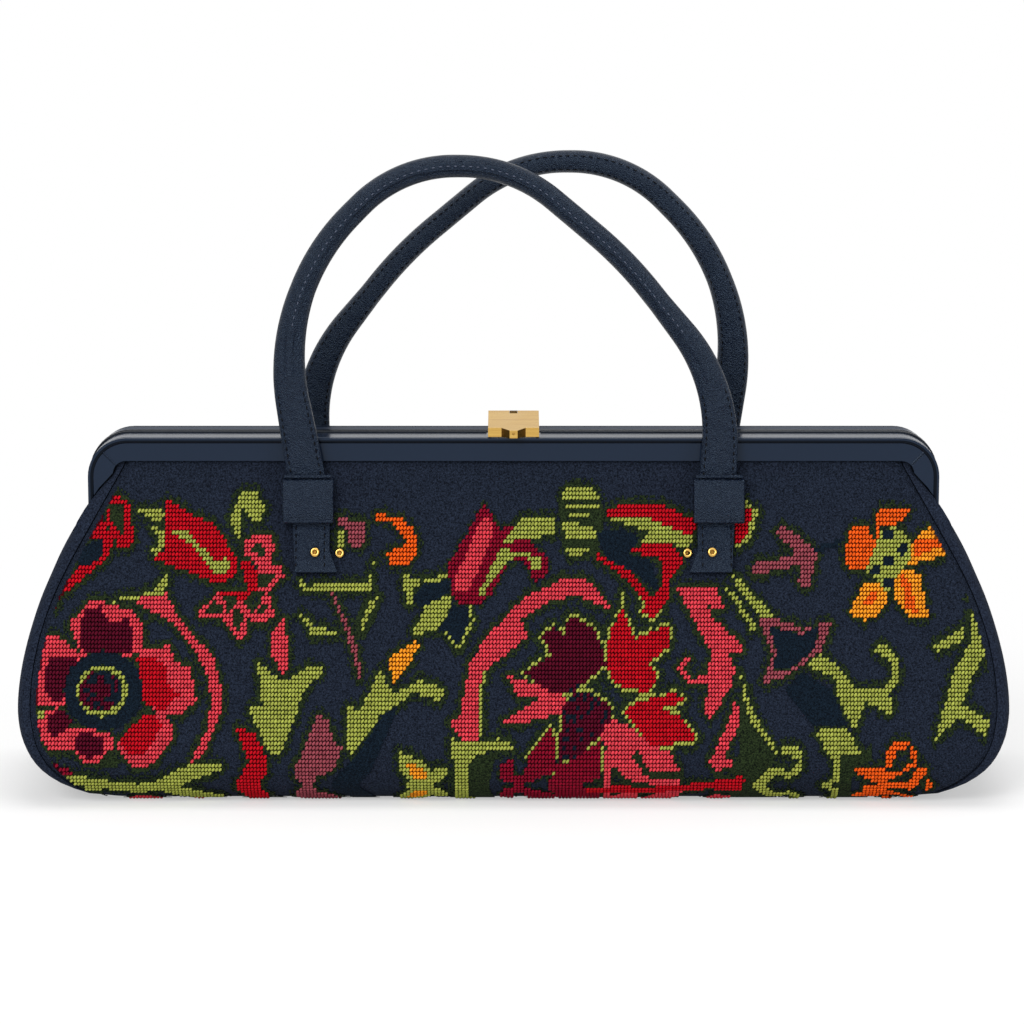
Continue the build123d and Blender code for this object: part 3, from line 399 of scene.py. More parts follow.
ground_felt = felt("navy_felt", (10, 14, 22), (37, 45, 61))
top_length = (cover_top - heel_z) / math.cos(lean)
lengths = np.concatenate(
    [
        np.linspace(-heel_length - base_half_depth, -heel_length, 8)[:-1],
        np.linspace(-heel_length, 0, 20)[:-1],
        np.linspace(0, top_length, 44),
    ]
)[:, None]
spread = np.sin(np.linspace(-math.pi / 2, math.pi / 2, 141))[None, :]
half = seam_x(on_cover(lengths)[1])
cover_x = spread * half
tuck = -seam_tuck * np.exp(-(((half - np.abs(cover_x)) / 1.5) ** 2))
cover_face = cover_points(cover_x, lengths, tuck)
for side, body in halves:
    cover = cloth_sheet(f"cover_{side}", on_side(side, cover_face), cover_thickness, ground_felt)
    sew_in(cover, "carpet_cover")

# Gussets: plain navy wool let in at both ends, seamed to the cover and bulging past the seams.
# The frame's arms hang inside them; above the hinge the cloth overlaps and spreads as the frame opens.
# A narrow tape backs each seam on the inside.
gusset_levels = [0, 3, 6, 10, 15, 24, 30, 37, 47, 56, 65, 75, 86, 92, 100, 110.6]
gusset_bulges = [153.0, 164.5, 171.5, 178.2, 183.3, 187.6, 189.2, 189.5]
gusset_bulges += [188.5, 186.7, 184.2, 180.9, 176.0, 173.4, 168.9, 162.5]
gusset_square = 3.4
gusset_foot = 0.4
gusset_top = 100.0
gusset_inset = 0.7
gusset_flap_tuck = 2.6
seam_gap = 0.3
gusset_corner = math.radians(48)
gusset_thickness = 2.0
tape_half_width = 2.5
tape_depth = 3.0
tape_top = 106.0
tape_thickness = 0.6
shoulder_dip = 1.5
shoulder_levels = [gusset_top, 110.6, 117.0, 122.6, 126.0, 130.0]
shoulder_edges = [168.9, 162.5, 157.2, 152.4, 151.6, 151.0]


def gusset_plan(height, turn):
    """Place of the gusset's face at a height, from the seam round to the middle of the end."""
    inner = seam_x(height) + seam_gap
    outer = sum(np.interp(height + step, gusset_levels, gusset_bulges) for step in (-4, -2, 0, 2, 4)) / 5
    outer = np.where(height < 4, np.interp(height, gusset_levels, gusset_bulges), outer)
    depth = panel_y(height) - gusset_inset
    power = 2 / gusset_square
    return inner + (outer - inner) * np.cos(turn) ** power, -depth * np.sin(turn) ** power


gusset_felt = felt("navy_end_felt", (14, 18, 28), (38, 46, 62), 0.5)
front_turn = np.linspace(math.pi / 2, gusset_corner, 14)[None, :]
foot_spread = np.array([0.0, 0.4, 0.75, 0.95])
foot_rows = np.full(len(foot_spread), gusset_foot)
wall_rows = np.linspace(gusset_foot, gusset_top, 40)
shoulder_rows = np.linspace(gusset_top, shoulder_levels[-1], 14)[1:]
foot_x = seam_x(gusset_foot) + seam_gap
front_height = np.concatenate([foot_rows, wall_rows, shoulder_rows])[:, None]
spread = np.concatenate([foot_spread, np.ones(len(front_height) - len(foot_spread))])[:, None]
front_x, front_y = gusset_plan(np.minimum(front_height, gusset_top), front_turn)
front_x = foot_x + (front_x - foot_x) * spread
share = (front_turn - math.pi / 2) / (gusset_corner - math.pi / 2)
above = np.clip((front_height - gusset_top) / 4, 0, 1)
band_x = seam_x(front_height) + seam_gap
band_x = band_x + (np.interp(front_height, shoulder_levels, shoulder_edges) - band_x) * np.sqrt(share)
band_y = -(panel_y(front_height) - gusset_inset - shoulder_dip * share**2)
plan_x, plan_y = gusset_plan(front_height, front_turn)
front_x = np.where(front_height > gusset_top, plan_x + (band_x - plan_x) * above, front_x)
front_y = np.where(front_height > gusset_top, plan_y + (band_y - plan_y) * above, front_y)
front_face = np.stack([front_x, front_y, front_height + 0 * share], axis=2)

end_turn = np.concatenate([np.linspace(gusset_corner, 0, 16), np.zeros(8)])[None, :]
past = np.concatenate([np.zeros(16), np.linspace(0, 1, 9)[1:]])[None, :]
end_height = np.concatenate([foot_rows, wall_rows])[:, None]
spread = np.concatenate([foot_spread, np.ones(len(wall_rows))])[:, None]
end_x, end_y = gusset_plan(end_height, end_turn)
end_x = foot_x + (end_x - foot_x) * spread - gusset_flap_tuck * np.minimum(past * 5, 1)
end_face = np.stack([end_x, end_y + end_flap(end_height, gusset_top) * past, end_height + 0 * past], axis=2)
tape_length = np.linspace(1 - heel_length, (tape_top - heel_z) / math.cos(lean), 60)[:, None]
tape_x = seam_x(on_cover(tape_length)[1]) + np.linspace(-tape_half_width, tape_half_width, 3)[None, :]
tape_face = cover_points(tape_x, tape_length, -tape_depth)
for part, face, thickness in (
    ("seam", front_face, gusset_thickness),
    ("end", end_face, gusset_thickness),
    ("tape", tape_face, tape_thickness),
):
    mirrored = (face * np.array([-1, 1, 1]))[:, ::-1]
    for name, cloth_face, body, node in (
        ("front_right", face, "front_frame", "gusset_right"),
        ("front_left", mirrored, "front_frame", "gusset_left"),
        ("rear_right", turned(mirrored), "rear_frame", "gusset_right"),
        ("rear_left", turned(face), "rear_frame", "gusset_left"),
    ):
        end_cloth = cloth_sheet(f"gusset_{part}_{name}", cloth_face, thickness, gusset_felt)
        sew_in(end_cloth, node)

# Needlework: flowers and scrolls in wool on both panels. The bright yarns stand up as slanting beads,
# and the dark ones and the shadow lines round the scrolls are worked fine and nearly flat.
stitch_width = 1.31
stitch_rise = 1.67
stitch_size = (1.2, 2.0, 1.05)
stitch_slant = math.radians(33)
stitch_lift = 0.45
bed_lift = {"raised": 0.12, "flat": 0.4}
skirt_depth = 0.7
# Each yarn: its kind, the dark and light tones of its bed, and the colour of its beads. Under a raised yarn
# the bed is a dark sheet of the yarn's own colour that stands for the shade in the gaps between the beads:
# painted shade.
yarns = {
    "coral": ("raised", (60, 6, 14), (92, 12, 24), (208, 60, 72)),
    "lime": ("raised", (26, 34, 12), (50, 58, 22), (152, 159, 70)),
    "orange": ("raised", (70, 18, 2), (104, 32, 6), (228, 88, 18)),
    "amber": ("raised", (76, 36, 4), (112, 60, 10), (232, 146, 32)),
    "mauve": ("raised", (44, 14, 22), (66, 24, 32), (142, 66, 76)),
    "scarlet": ("raised", (46, 1, 5), (76, 2, 10), (178, 6, 24)),
    "crimson": ("raised", (30, 1, 8), (52, 2, 14), (124, 6, 34)),
    "maroon": ("raised", (18, 1, 7), (34, 1, 12), (78, 3, 28)),
    "forest": ("flat", (6, 11, 9), (44, 57, 32), None),
    "teal": ("flat", (5, 10, 17), (20, 33, 46), None),
}
yarn_number = {colour: number for number, colour in enumerate(yarns)}
raised = np.array([kind == "raised" for kind, _, _, _ in yarns.values()])


def instance_tree(name, shape):
    """Tree that sets one small shape on every loose point, turned to the point's own axes."""
    tree = bpy.data.node_groups.new(name, "GeometryNodeTree")
    sockets = (
        ("Geometry", "NodeSocketGeometry"),
        ("Size", "NodeSocketVector"),
        ("Jitter", "NodeSocketFloat"),
        ("Seed", "NodeSocketInt"),
        ("Material", "NodeSocketMaterial"),
    )
    for label, kind in sockets:
        tree.interface.new_socket(label, in_out="INPUT", socket_type=kind)
    tree.interface.new_socket("Geometry", in_out="OUTPUT", socket_type="NodeSocketGeometry")
    given = add_node(tree, "NodeGroupInput")
    normal = add_node(tree, "GeometryNodeInputNamedAttribute", {"Name": "out"}, data_type="FLOAT_VECTOR")
    along = add_node(tree, "GeometryNodeInputNamedAttribute", {"Name": "along"}, data_type="FLOAT_VECTOR")
    turn = add_node(tree, "FunctionNodeAxesToRotation", primary_axis="Z", secondary_axis="Y")
    join(tree, normal, "Attribute", turn, 0)
    join(tree, along, "Attribute", turn, 1)
    chance = add_node(tree, "FunctionNodeRandomValue", data_type="FLOAT_VECTOR")
    chance.inputs[0].default_value = (-1, -1, -1)
    chance.inputs[1].default_value = (1, 1, 1)
    join(tree, given, "Seed", chance, "Seed")
    wander = add_node(tree, "ShaderNodeVectorMath", operation="SCALE")
    join(tree, chance, 0, wander, 0)
    join(tree, given, "Jitter", wander, "Scale")
    about = add_node(tree, "ShaderNodeVectorMath", operation="ADD")
    about.inputs[1].default_value = (1, 1, 1)
    join(tree, wander, 0, about, 0)
    size = add_node(tree, "ShaderNodeVectorMath", operation="MULTIPLY")
    join(tree, about, 0, size, 0)
    join(tree, given, "Size", size, 1)
    place = add_node(tree, "GeometryNodeInstanceOnPoints")
    join(tree, given, "Geometry", place, "Points")
    tree.links.new(shape(tree), place.inputs["Instance"])
    join(tree, turn, 0, place, "Rotation")
    join(tree, size, 0, place, "Scale")
    real = add_node(tree, "GeometryNodeRealizeInstances")
    smooth = add_node(tree, "GeometryNodeSetShadeSmooth")
    paint = add_node(tree, "GeometryNodeSetMaterial")
    join(tree, place, 0, real, 0)
    join(tree, real, 0, smooth, 0)
    join(tree, smooth, 0, paint, "Geometry")
    join(tree, given, "Material", paint, "Material")
    tree.links.new(paint.outputs[0], add_node(tree, "NodeGroupOutput").inputs[0])
    return tree


def set_out(name, tree, points, out, along, size, paint, jitter=0.0, seed=1, tone=None):
    """Plain mesh of one shape on many points: places and sizes in millimetres, each with its own axes."""
    mesh = bpy.data.meshes.new(name)
    mesh.from_pydata((np.asarray(points) / 1000).tolist(), [], [])
    for label, vectors in (("out", out), ("along", along)):
        mesh.attributes.new(label, "FLOAT_VECTOR", "POINT").data.foreach_set("vector", np.ravel(vectors))
    mesh.attributes.new("tone", "FLOAT", "POINT").data.foreach_set(
        "value", np.ones(len(points)) if tone is None else tone
    )
    piece = add_piece(name, mesh, paint)
    grower = piece.modifiers.new("grow", "NODES")
    grower.node_group = tree
    values = {"Size": [v / 1000 for v in size], "Jitter": jitter, "Seed": seed, "Material": paint}
    for socket in tree.interface.items_tree:
        if socket.in_out == "INPUT" and socket.name in values:
            grower[socket.identifier] = values[socket.name]
    bpy.context.view_layer.update()
    grown = piece.evaluated_get(bpy.context.evaluated_depsgraph_get())
    piece.data = bpy.data.meshes.new_from_object(grown)
    piece.modifiers.clear()
    bpy.data.meshes.remove(mesh)
    return piece


def bead(tree):
    """Low round bead, one unit across."""
    return add_node(tree, "GeometryNodeMeshIcoSphere", {"Radius": 0.5, "Subdivisions": 1}).outputs[0]


def yarn(name, colour):
    """Twisted wool: matt, a little lighter or darker from stitch to stitch."""
    made, tree, shader = principled(name, colour, 0.85, Specular_IOR_Level=0.1)
    tone = add_node(tree, "ShaderNodeAttribute", attribute_name="tone")
    darker = add_node(tree, "ShaderNodeMix", data_type="RGBA", blend_type="MULTIPLY")
    darker.inputs["Factor"].default_value = 1.0
    darker.inputs[6].default_value = linear(*colour)
    join(tree, tone, "Fac", darker, 7)
    join(tree, darker, 2, shader, "Base Color")
    return made


stitch_tree = instance_tree("stitches", bead)
wool_polygons = []
wool_points = []
wool_colours = []
for colour, number in yarn_number.items():
    mesh = nodes["pile_" + colour].data
    start = len(wool_points)
    wool_points += [v.co for v in mesh.vertices]
    wool_polygons += [[start + v for v in p.vertices] for p in mesh.polygons]
    wool_colours += [number] * len(mesh.polygons)
wool_solid = BVHTree.FromPolygons(wool_points, wool_polygons)

fine_width = stitch_width / 2
fine_rise = stitch_rise / 2
low_length = -34.0
chart_half_width = 183.0
chart_top = 104.0
chart_foot = -19.0
seam_margin = 2.4
probe_height = 4.0
probe_length = 5.5
columns = 4 * int(chart_half_width / stitch_width)
rows = 2 * int((chart_top - low_length) / stitch_rise)
corner_x = (np.arange(columns + 1) - columns / 2) * fine_width
corner_length = low_length + np.arange(rows + 1) * fine_rise
fine_x = (np.arange(columns) - columns / 2 + 0.5) * fine_width
fine_length = low_length + (np.arange(rows) + 0.5) * fine_rise
fine_edge = seam_x(on_cover(fine_length)[1])[:, None] - seam_margin
inside = (np.abs(fine_x)[None, :] < fine_edge) & (fine_length > low_length + 2)[:, None]
coarse_x = fine_x.reshape(-1, 2).mean(1)
coarse_length = fine_length.reshape(-1, 2).mean(1)
coarse_z = on_cover(coarse_length)[1][:, None]
clear = inside.reshape(rows // 2, 2, columns // 2, 2).all(axis=(1, 3))
bloom = ((33.0, 46.0), (46.0, 34.0))
pistil = ((28.5, 29.0), (13.0, 18.0))
rosette = ((-156.3, 43.6), (7.6, 7.6))
strokes = [
    ("coral", 6.5, [(-19.3, 82.6), (-13.8, 93.9), (-10.5, 102.8)]),
    ("coral", 9.0, [(37.5, 27.6), (47.9, 13.9), (59.3, 12.1)]),
    ("scarlet", 3.0, [(29.0, 5.7), (67.7, 6.8), (85.9, 10.5)]),
    ("crimson", 4.0, [(-174.0, 15.5), (-168.5, 13.0)]),
    ("mauve", 1.6, [(-68.3, 78.6), (-62.9, 65.7), (-60.0, 59.3), (-57.9, 48.0)]),
    ("mauve", 4.0, [(92.0, 87.9), (113.6, 91.9)]),
    ("mauve", 5.0, [(102.3, 100.9), (111.5, 93.9), (110.5, 83.0)]),
    ("orange", 3.0, [(134.0, 6.5), (146.0, 8.5)]),
    ("orange", 4.0, [(150.0, 8.0), (154.0, 14.0)]),
    ("lime", 1.3, [(-16.3, 73.8), (-15.5, 68.9), (-20.5, 59.3), (-25.6, 64.1)]),
    ("lime", 1.3, [(-11.7, 50.4), (-12.2, 28.5)]),
    ("lime", 1.3, [(41.8, 79.5), (41.8, 75.0)]),
    ("lime", 4.0, [(-168.1, 11.2), (-155.8, 8.5), (-141.6, 6.6), (-126.4, 9.4)]),
    ("lime", 3.4, [(-181.0, 35.5), (-178.5, 35.5)]),
    ("forest", 6.0, [(-152.5, 18.5), (-151.5, 18.5)]),
    ("forest", 2.6, [(46.0, 20.3), (50.8, 13.0), (63.1, 12.1)]),
    ("forest", 2.2, [(38.5, 13.9), (44.2, 8.5), (52.5, 7.5)]),
    ("teal", 1.8, [(114.5, 94.5), (124.0, 97.5)]),
    ("teal", 3.4, [(141.4, 100.3), (142.4, 100.3)]),
    ("teal", 3.4, [(147.0, 94.8), (148.0, 94.8)]),
    ("teal", 3.4, [(141.4, 90.9), (142.4, 90.9)]),
    ("teal", 3.4, [(136.7, 86.9), (137.7, 86.9)]),
    ("teal", 3.4, [(141.4, 82.5), (142.4, 82.5)]),
]
shadows = [
    (("coral", "scarlet"), 0.92, 0.4),
    (("lime", "mauve"), 0.8, 0.42),
    (("orange", "amber"), 0.75, 0.25),
    (("crimson", "maroon"), 0.35, 0.0),
]
chance = np.random.default_rng(11)


def wool_chart(across, lengths, side):
    """Numbers of the yarns in the CAD needlework on a grid over a panel, or -1 for bare ground."""
    way = -1 if side == "front" else 1
    chart = []
    for length in lengths:
        depth, height, out_y, out_z = on_cover(chart_foot + abs(length - chart_foot))
        inward = Vector((0, -way * out_y, -out_z))
        start_y = way * (depth + probe_height * out_y)
        start_z = height + probe_height * out_z
        starts = [Vector((-way * x, start_y, start_z)) / 1000 for x in across]
        hits = [wool_solid.ray_cast(start, inward, probe_length / 1000)[2] for start in starts]
        chart.append([-1 if hit is None else wool_colours[hit] for hit in hits])
    return np.array(chart)


def within(oval):
    """Coarse cells inside an oval, given by its middle and its reach each way."""
    (x, z), (wide, high) = oval
    return np.hypot((coarse_x - x) / wide, (coarse_z - z) / high) < 1


def worked_in(chart, *colours):
    """Cells of a chart that have any of these yarns."""
    return np.isin(chart, [yarn_number[colour] for colour in colours])


def doubled(chart):
    """Coarse chart on the fine cells, two by two."""
    return np.repeat(np.repeat(chart, 2, axis=0), 2, axis=1)


def on_stroke(x, z, points, width):
    """Cells within half a width of a run of straight lines."""
    near = np.full((z + x).shape, np.inf)
    for (x0, z0), (x1, z1) in zip(points, points[1:]):
        run, rise = x1 - x0, z1 - z0
        share = np.clip(((x - x0) * run + (z - z0) * rise) / (run**2 + rise**2), 0, 1)
        near = np.minimum(near, np.hypot(x - x0 - share * run, z - z0 - share * rise))
    return near < width / 2


def grown(mask, steps):
    """The mask with its edge moved outwards by a number of cells."""
    for _ in range(steps):
        wider = mask.copy()
        wider[1:] |= mask[:-1]
        wider[:-1] |= mask[1:]
        wider[:, 1:] |= mask[:, :-1]
        wider[:, :-1] |= mask[:, 1:]
        mask = wider
    return mask


def coarse_chart(side):
    """Yarns of the raised stitches on a panel, and of the dark marks worked over them."""
    chart = wool_chart(coarse_x, coarse_length, side)
    chart[(chart >= 0) & ~raised[chart]] = -1
    luck = chance.random(chart.shape)
    petals = worked_in(chart, "scarlet", "crimson", "maroon") & within(bloom)
    chart[grown(petals, 1) & (chart < 0) & (luck < 0.9)] = yarn_number["lime"]
    chart[within(rosette) & (luck < 0.5)] = yarn_number["maroon"]
    dark = np.where(within(pistil) & worked_in(chart, "maroon") & (luck < 0.2), yarn_number["teal"], -1)
    for colour, width, points in strokes:
        mark = on_stroke(coarse_x[None, :], coarse_z, points, width)
        bright = raised[yarn_number[colour]]
        chart[mark] = yarn_number[colour] if bright else -1
        dark[mark] = -1 if bright else yarn_number[colour]
    chart[dark >= 0] = -1
    return chart, dark


def fine_chart(side, coarse, dark):
    """Yarns of the beds on a panel: under the stitches (painted shade between them), in the dark fields and
    in the shadow lines.
    """
    chart = wool_chart(fine_x, fine_length, side)
    chart[(chart >= 0) & raised[chart]] = -1
    for over in (doubled(coarse), doubled(dark)):
        chart[over >= 0] = over[over >= 0]
    luck = chance.random(chart.shape)
    shadow = np.zeros(chart.shape, bool)
    for colours, close, wide in shadows:
        field = worked_in(chart, *colours)
        shadow |= (grown(field, 2) & (luck < close)) | (grown(field, 4) & (luck < wide))
    chart[shadow & (chart < 0)] = yarn_number["forest"]
    chart[~inside] = -1
    return chart


def wool_bed(name, cells, lift, side, paint):
    """Sheet over the worked cells, a little off the cover, with a skirt down to it round the edge."""
    used = {}
    quads = []
    for row, column in cells:
        ring = ((row, column), (row, column + 1), (row + 1, column + 1), (row + 1, column))
        quads.append([used.setdefault(corner, len(used)) for corner in ring])
    corners = np.array(list(used))
    top = on_side(side, cover_points(corner_x[corners[:, 1]], corner_length[corners[:, 0]], lift))
    mesh = bpy.data.meshes.new(name)
    mesh.from_pydata((top / 1000).tolist(), [], quads)
    skirt = bmesh.new()
    skirt.from_mesh(mesh)
    rim = [edge for edge in skirt.edges if edge.is_boundary]
    for corner in bmesh.ops.extrude_edge_only(skirt, edges=rim)["geom"]:
        if isinstance(corner, bmesh.types.BMVert):
            corner.co.y += (skirt_depth if side == "front" else -skirt_depth) / 1000
    skirt.to_mesh(mesh)
    skirt.free()
    return add_piece(name, mesh, paint)


bed_felts_and_gap_shade = {colour: felt("bed_" + colour, dark, light) for colour, (_, dark, light, _) in yarns.items()}
threads = {colour: yarn("yarn_" + colour, bright) for colour, (_, _, _, bright) in yarns.items() if bright}
for side, body in halves:
    coarse, dark = coarse_chart(side)
    fine = fine_chart(side, coarse, dark)
    for colour, number in yarn_number.items():
        kind = yarns[colour][0]
        cells = np.argwhere(fine == number)
        if not len(cells):
            continue
        # Under the raised yarns this bed is painted shade between the beads; under the flat ones it is the
        # yarn itself.
        bed = wool_bed(f"bed_{colour}_{side}", cells, bed_lift[kind], side, bed_felts_and_gap_shade[colour])
        sew_in(bed, "pile_" + colour)
        if kind == "flat":
            continue
        stitches = np.argwhere((coarse == number) & clear)
        stitch_length = coarse_length[stitches[:, 0]]
        places = cover_points(coarse_x[stitches[:, 1]], stitch_length, stitch_lift)
        _, _, out_y, out_z = on_cover(stitch_length)
        none = np.zeros(len(stitches))
        out = np.stack([none, -out_y, out_z], axis=1)
        slope = np.stack([none, out_z, out_y], axis=1)
        slant = math.cos(stitch_slant) * slope + math.sin(stitch_slant) * np.array([1.0, 0.0, 0.0])
        worked = [on_side(side, vectors) for vectors in (places, out, slant)]
        tone = np.clip(chance.normal(1.0, 0.1, len(stitches)), 0.7, 1.2)
        name = f"stitches_{colour}_{side}"
        work = set_out(name, stitch_tree, *worked, stitch_size, threads[colour], 0.08, number + 1, tone)
        sew_in(work, "pile_" + colour)

# Frame: two pressed-steel channels, stove-enamelled in dark navy, that clamp the cover's upper edges.
# Each is bent to a U with mitred corners, and its arms end in lugs on the hinge pins.


def softened(node, name, paint, edge, segments=3):
    """Merged copy of a CAD node with its edges rounded."""
    shape = bmesh.new()
    shape.from_mesh(nodes[node].data)
    bmesh.ops.remove_doubles(shape, verts=shape.verts, dist=2e-6)
    bmesh.ops.dissolve_limit(shape, angle_limit=0.01, verts=shape.verts, edges=shape.edges)
    mesh = bpy.data.meshes.new(name)
    shape.to_mesh(mesh)
    shape.free()
    if "custom_normal" in mesh.attributes:
        mesh.attributes.remove(mesh.attributes["custom_normal"])
    mesh.polygons.foreach_set("use_smooth", [True] * len(mesh.polygons))
    piece = add_piece(name, mesh, paint)
    rounding = piece.modifiers.new("rounding", "BEVEL")
    rounding.width = edge / 1000
    rounding.segments = segments
    rounding.limit_method = "ANGLE"
    rounding.angle_limit = math.radians(28)
    rounding.harden_normals = True
    return piece


frame_half_width = 162.0
frame_top = 136.4
frame_corner = 15.0
frame_foot = 91.0
frame_face_y = 15.1
lip_radius = 1.15
lip_y = 14.5
roll_radius = 1.2
roll_y = 1.75
roll_sink = 0.5
clasp_clear = 10.3
mitre_ends = [(156.3, 131.3), (151.5, 126.5)]
mitre_radius = 0.28


def solid_of(name, points, faces):
    """Smooth closed mesh from points in millimetres, with its faces turned outwards."""
    mesh = bpy.data.meshes.new(name)
    mesh.from_pydata((points / 1000).reshape(-1, 3).tolist(), [], faces)
    shape = bmesh.new()
    shape.from_mesh(mesh)
    bmesh.ops.recalc_face_normals(shape, faces=shape.faces)
    shape.to_mesh(mesh)
    shape.free()
    mesh.polygons.foreach_set("use_smooth", [True] * len(mesh.polygons))
    mesh.set_sharp_from_angle(angle=math.radians(50))
    return mesh


def ring_faces(rings, count):
    """Faces of a bar of closed rings, with flat ends."""
    grid = np.arange(rings * count).reshape(rings, count)
    beside = np.roll(grid, -1, axis=1)
    faces = np.stack([grid[:-1], beside[:-1], beside[1:], grid[1:]], axis=-1).reshape(-1, 4).tolist()
    return faces + [list(grid[0][::-1]), list(grid[-1])]


def round_bar(name, path, radius, paint):
    """Round bar along a path of points in millimetres in an upright plane across the bag."""
    path = np.array(path)
    ahead = np.gradient(path, axis=0)
    ahead /= np.linalg.norm(ahead, axis=1, keepdims=True)
    back = np.array([0.0, 1.0, 0.0])
    aside = np.cross(ahead, back)[:, None]
    angles = np.radians(np.arange(0, 360, 24))[None, :, None]
    rings = path[:, None] + radius * (np.cos(angles) * aside + np.sin(angles) * back)
    return add_piece(name, solid_of(name, rings, ring_faces(len(path), rings.shape[1])), paint)


def frame_route(inset, y, reach):
    """Path up the right arm and along the rail, a distance inside the frame's outline."""
    half, top, radius = frame_half_width - inset, frame_top - inset, frame_corner - inset
    turn = np.radians(np.arange(0, 91, 7.5))
    arc = [(half - radius + radius * np.cos(a), y, top - radius + radius * np.sin(a)) for a in turn]
    return np.array([(half, y, frame_foot)] + arc + [(reach, y, top)])


enamel_gloss = (0.7, 0.84, 1.0, 1.0)
# The lip along the band and the rolls along the rails' inner edges are painted near-black, darker than the
# band: painted shade on these rounded beads, which are the same enamel as the rest of the frame.
bead_enamel_painted_shade, _, _ = principled(
    "bead_enamel_painted_shade", (4, 7, 16), 0.14, Specular_IOR_Level=0.12, Specular_Tint=enamel_gloss
)
satin_tops = {"front": 0.24, "rear": 0.6}
mirror = np.array([-1, 1, 1])
lip_path = frame_route(lip_radius, -lip_y, 0.0)
lip_path = np.concatenate([lip_path[:-1], (lip_path * mirror)[::-1]])
roll_path = frame_route(roll_sink, -roll_y, clasp_clear)
mitre = np.array([(x, -frame_face_y, z) for x, z in mitre_ends])
for side, body in halves:
    enamel, tree, shader = principled(
        f"{side}_enamel", (20, 30, 47), 0.16, Specular_IOR_Level=0.26, Specular_Tint=enamel_gloss
    )
    surface = add_node(tree, "ShaderNodeNewGeometry")
    upward = add_node(tree, "ShaderNodeSeparateXYZ")
    worn = add_node(tree, "ShaderNodeMapRange", {"From Min": 0.85, "From Max": 0.98, "To Min": 0.16})
    worn.inputs["To Max"].default_value = satin_tops[side]
    join(tree, surface, "Normal", upward, 0)
    join(tree, upward, "Z", worn, "Value")
    join(tree, worn, "Result", shader, "Roughness")
    pieces = [
        softened(f"{side}_frame_half", f"{side}_channel", enamel, 0.45, 4),
        round_bar(f"{side}_lip", on_side(side, lip_path), lip_radius, bead_enamel_painted_shade),
    ]
    for end, flip in (("right", np.ones(3)), ("left", mirror)):
        for name, line, radius, paint in (
            ("roll", roll_path, roll_radius, bead_enamel_painted_shade),
            ("mitre", mitre, mitre_radius, enamel),
        ):
            pieces.append(round_bar(f"{side}_{end}_{name}", on_side(side, line * flip), radius, paint))
    for piece in pieces:
        fix_to(piece, f"{side}_frame_half", body)

# Hinge pins: steel rivets through the lugs at both ends, closed over on the outside.
# They are tight in the rear half of the frame, and the front half turns on them.
steel, _, _ = principled("pin_steel", (150, 150, 154), 0.32, Metallic=1.0)
for side in ("left", "right"):
    pin = softened(f"hinge_pin_{side}", f"{side}_hinge_rivet", steel, 0.2)
    fix_to(pin, f"hinge_pin_{side}", "rear_frame")

# Clasp: a folded brass plate, gilt and brushed, that flips over the front rail from its bracket
# on the rear rail. It turns on a steel pin, and its spout snaps over the striker.
gilt, tree, shader = principled("brushed_gilt", (204, 164, 90), 0.26, Metallic=1.0)
spot, noise, ramp = mottle(tree, shader, 1.0, (192, 150, 74), (222, 184, 104), 3.0)
grain = add_node(tree, "ShaderNodeMapping")
grain.inputs["Scale"].default_value = (24, 1500, 3600)
join(tree, spot, "Object", grain, "Vector")
join(tree, grain, "Vector", noise, "Vector")
bump(tree, shader, noise.outputs["Fac"], 0.3, 0.0001)
# Faces turned sideways, such as the sides of the spout, are mixed towards dark brown: painted shade on the
# faces turned away from the light.
surface = add_node(tree, "ShaderNodeNewGeometry")
sideways = add_node(tree, "ShaderNodeSeparateXYZ")
either_way = add_node(tree, "ShaderNodeMath", operation="ABSOLUTE")
side_shade_share = add_node(tree, "ShaderNodeMapRange", {"From Min": 0.3, "From Max": 0.55})
side_faces_painted_shade = add_node(tree, "ShaderNodeMix", data_type="RGBA")
side_faces_painted_shade.inputs[7].default_value = linear(104, 76, 28)
join(tree, surface, "Normal", sideways, 0)
join(tree, sideways, "X", either_way, 0)
join(tree, either_way, 0, side_shade_share, "Value")
join(tree, side_shade_share, "Result", side_faces_painted_shade, "Factor")
join(tree, ramp, "Color", side_faces_painted_shade, 6)
join(tree, side_faces_painted_shade, 2, shader, "Base Color")
dull_brass, _, _ = principled("dull_brass", (74, 56, 26), 0.45, Metallic=1.0)
for node, name, slot, body, edge, paint in (
    ("clasp_lever", "clasp_plate", "gilt_brass", "clasp", 0.35, gilt),
    ("clasp_bracket", "clasp_foot", "gilt_brass", "rear_frame", 0.25, dull_brass),
    ("clasp_striker", "clasp_stop", "gilt_brass", "front_frame", 0.2, dull_brass),
    ("clasp_pin", "clasp_axle", "pin_steel", "rear_frame", 0.15, steel),
):
    fix_to(softened(node, name, paint, edge), node, body)

# Handles: leather straps rolled round a cord for most of their length, with a stitched welt outside.
# Their flat ends are sewn and riveted to the panels, front and back alike, half a turn apart.
handle_foot = np.array([0.0, -19.76, 113.52])
handle_lean = math.radians(4.0)
handle_route = [(-77.0, 0.0), (-91.0, 78.0), (-43.0, 126.0), (0.0, 126.0)]
handle_route += [(42.0, 91.0), (79.6, 44.0), (77.0, 0.0)]
handle_radii = [80.0, 50.0, 55.0, 150.0, 65.0]
handle_places = [0.0, 0.06, 0.14, 0.24, 0.5, 0.76, 0.86, 0.94, 1.0]
handle_widths = [14.5, 14.0, 12.4, 9.8, 8.4, 8.8, 11.6, 13.8, 14.5]
handle_depths = [2.8, 3.4, 6.6, 8.0, 8.2, 8.0, 6.8, 3.4, 2.8]
handle_squares = [6.0, 5.0, 3.2, 2.5, 2.3, 2.4, 3.0, 5.0, 6.0]
welt_half_width = 1.5
welt_height = 0.8
thread_pitch = 2.8
thread_inset = 1.6
thread_lift = 0.05


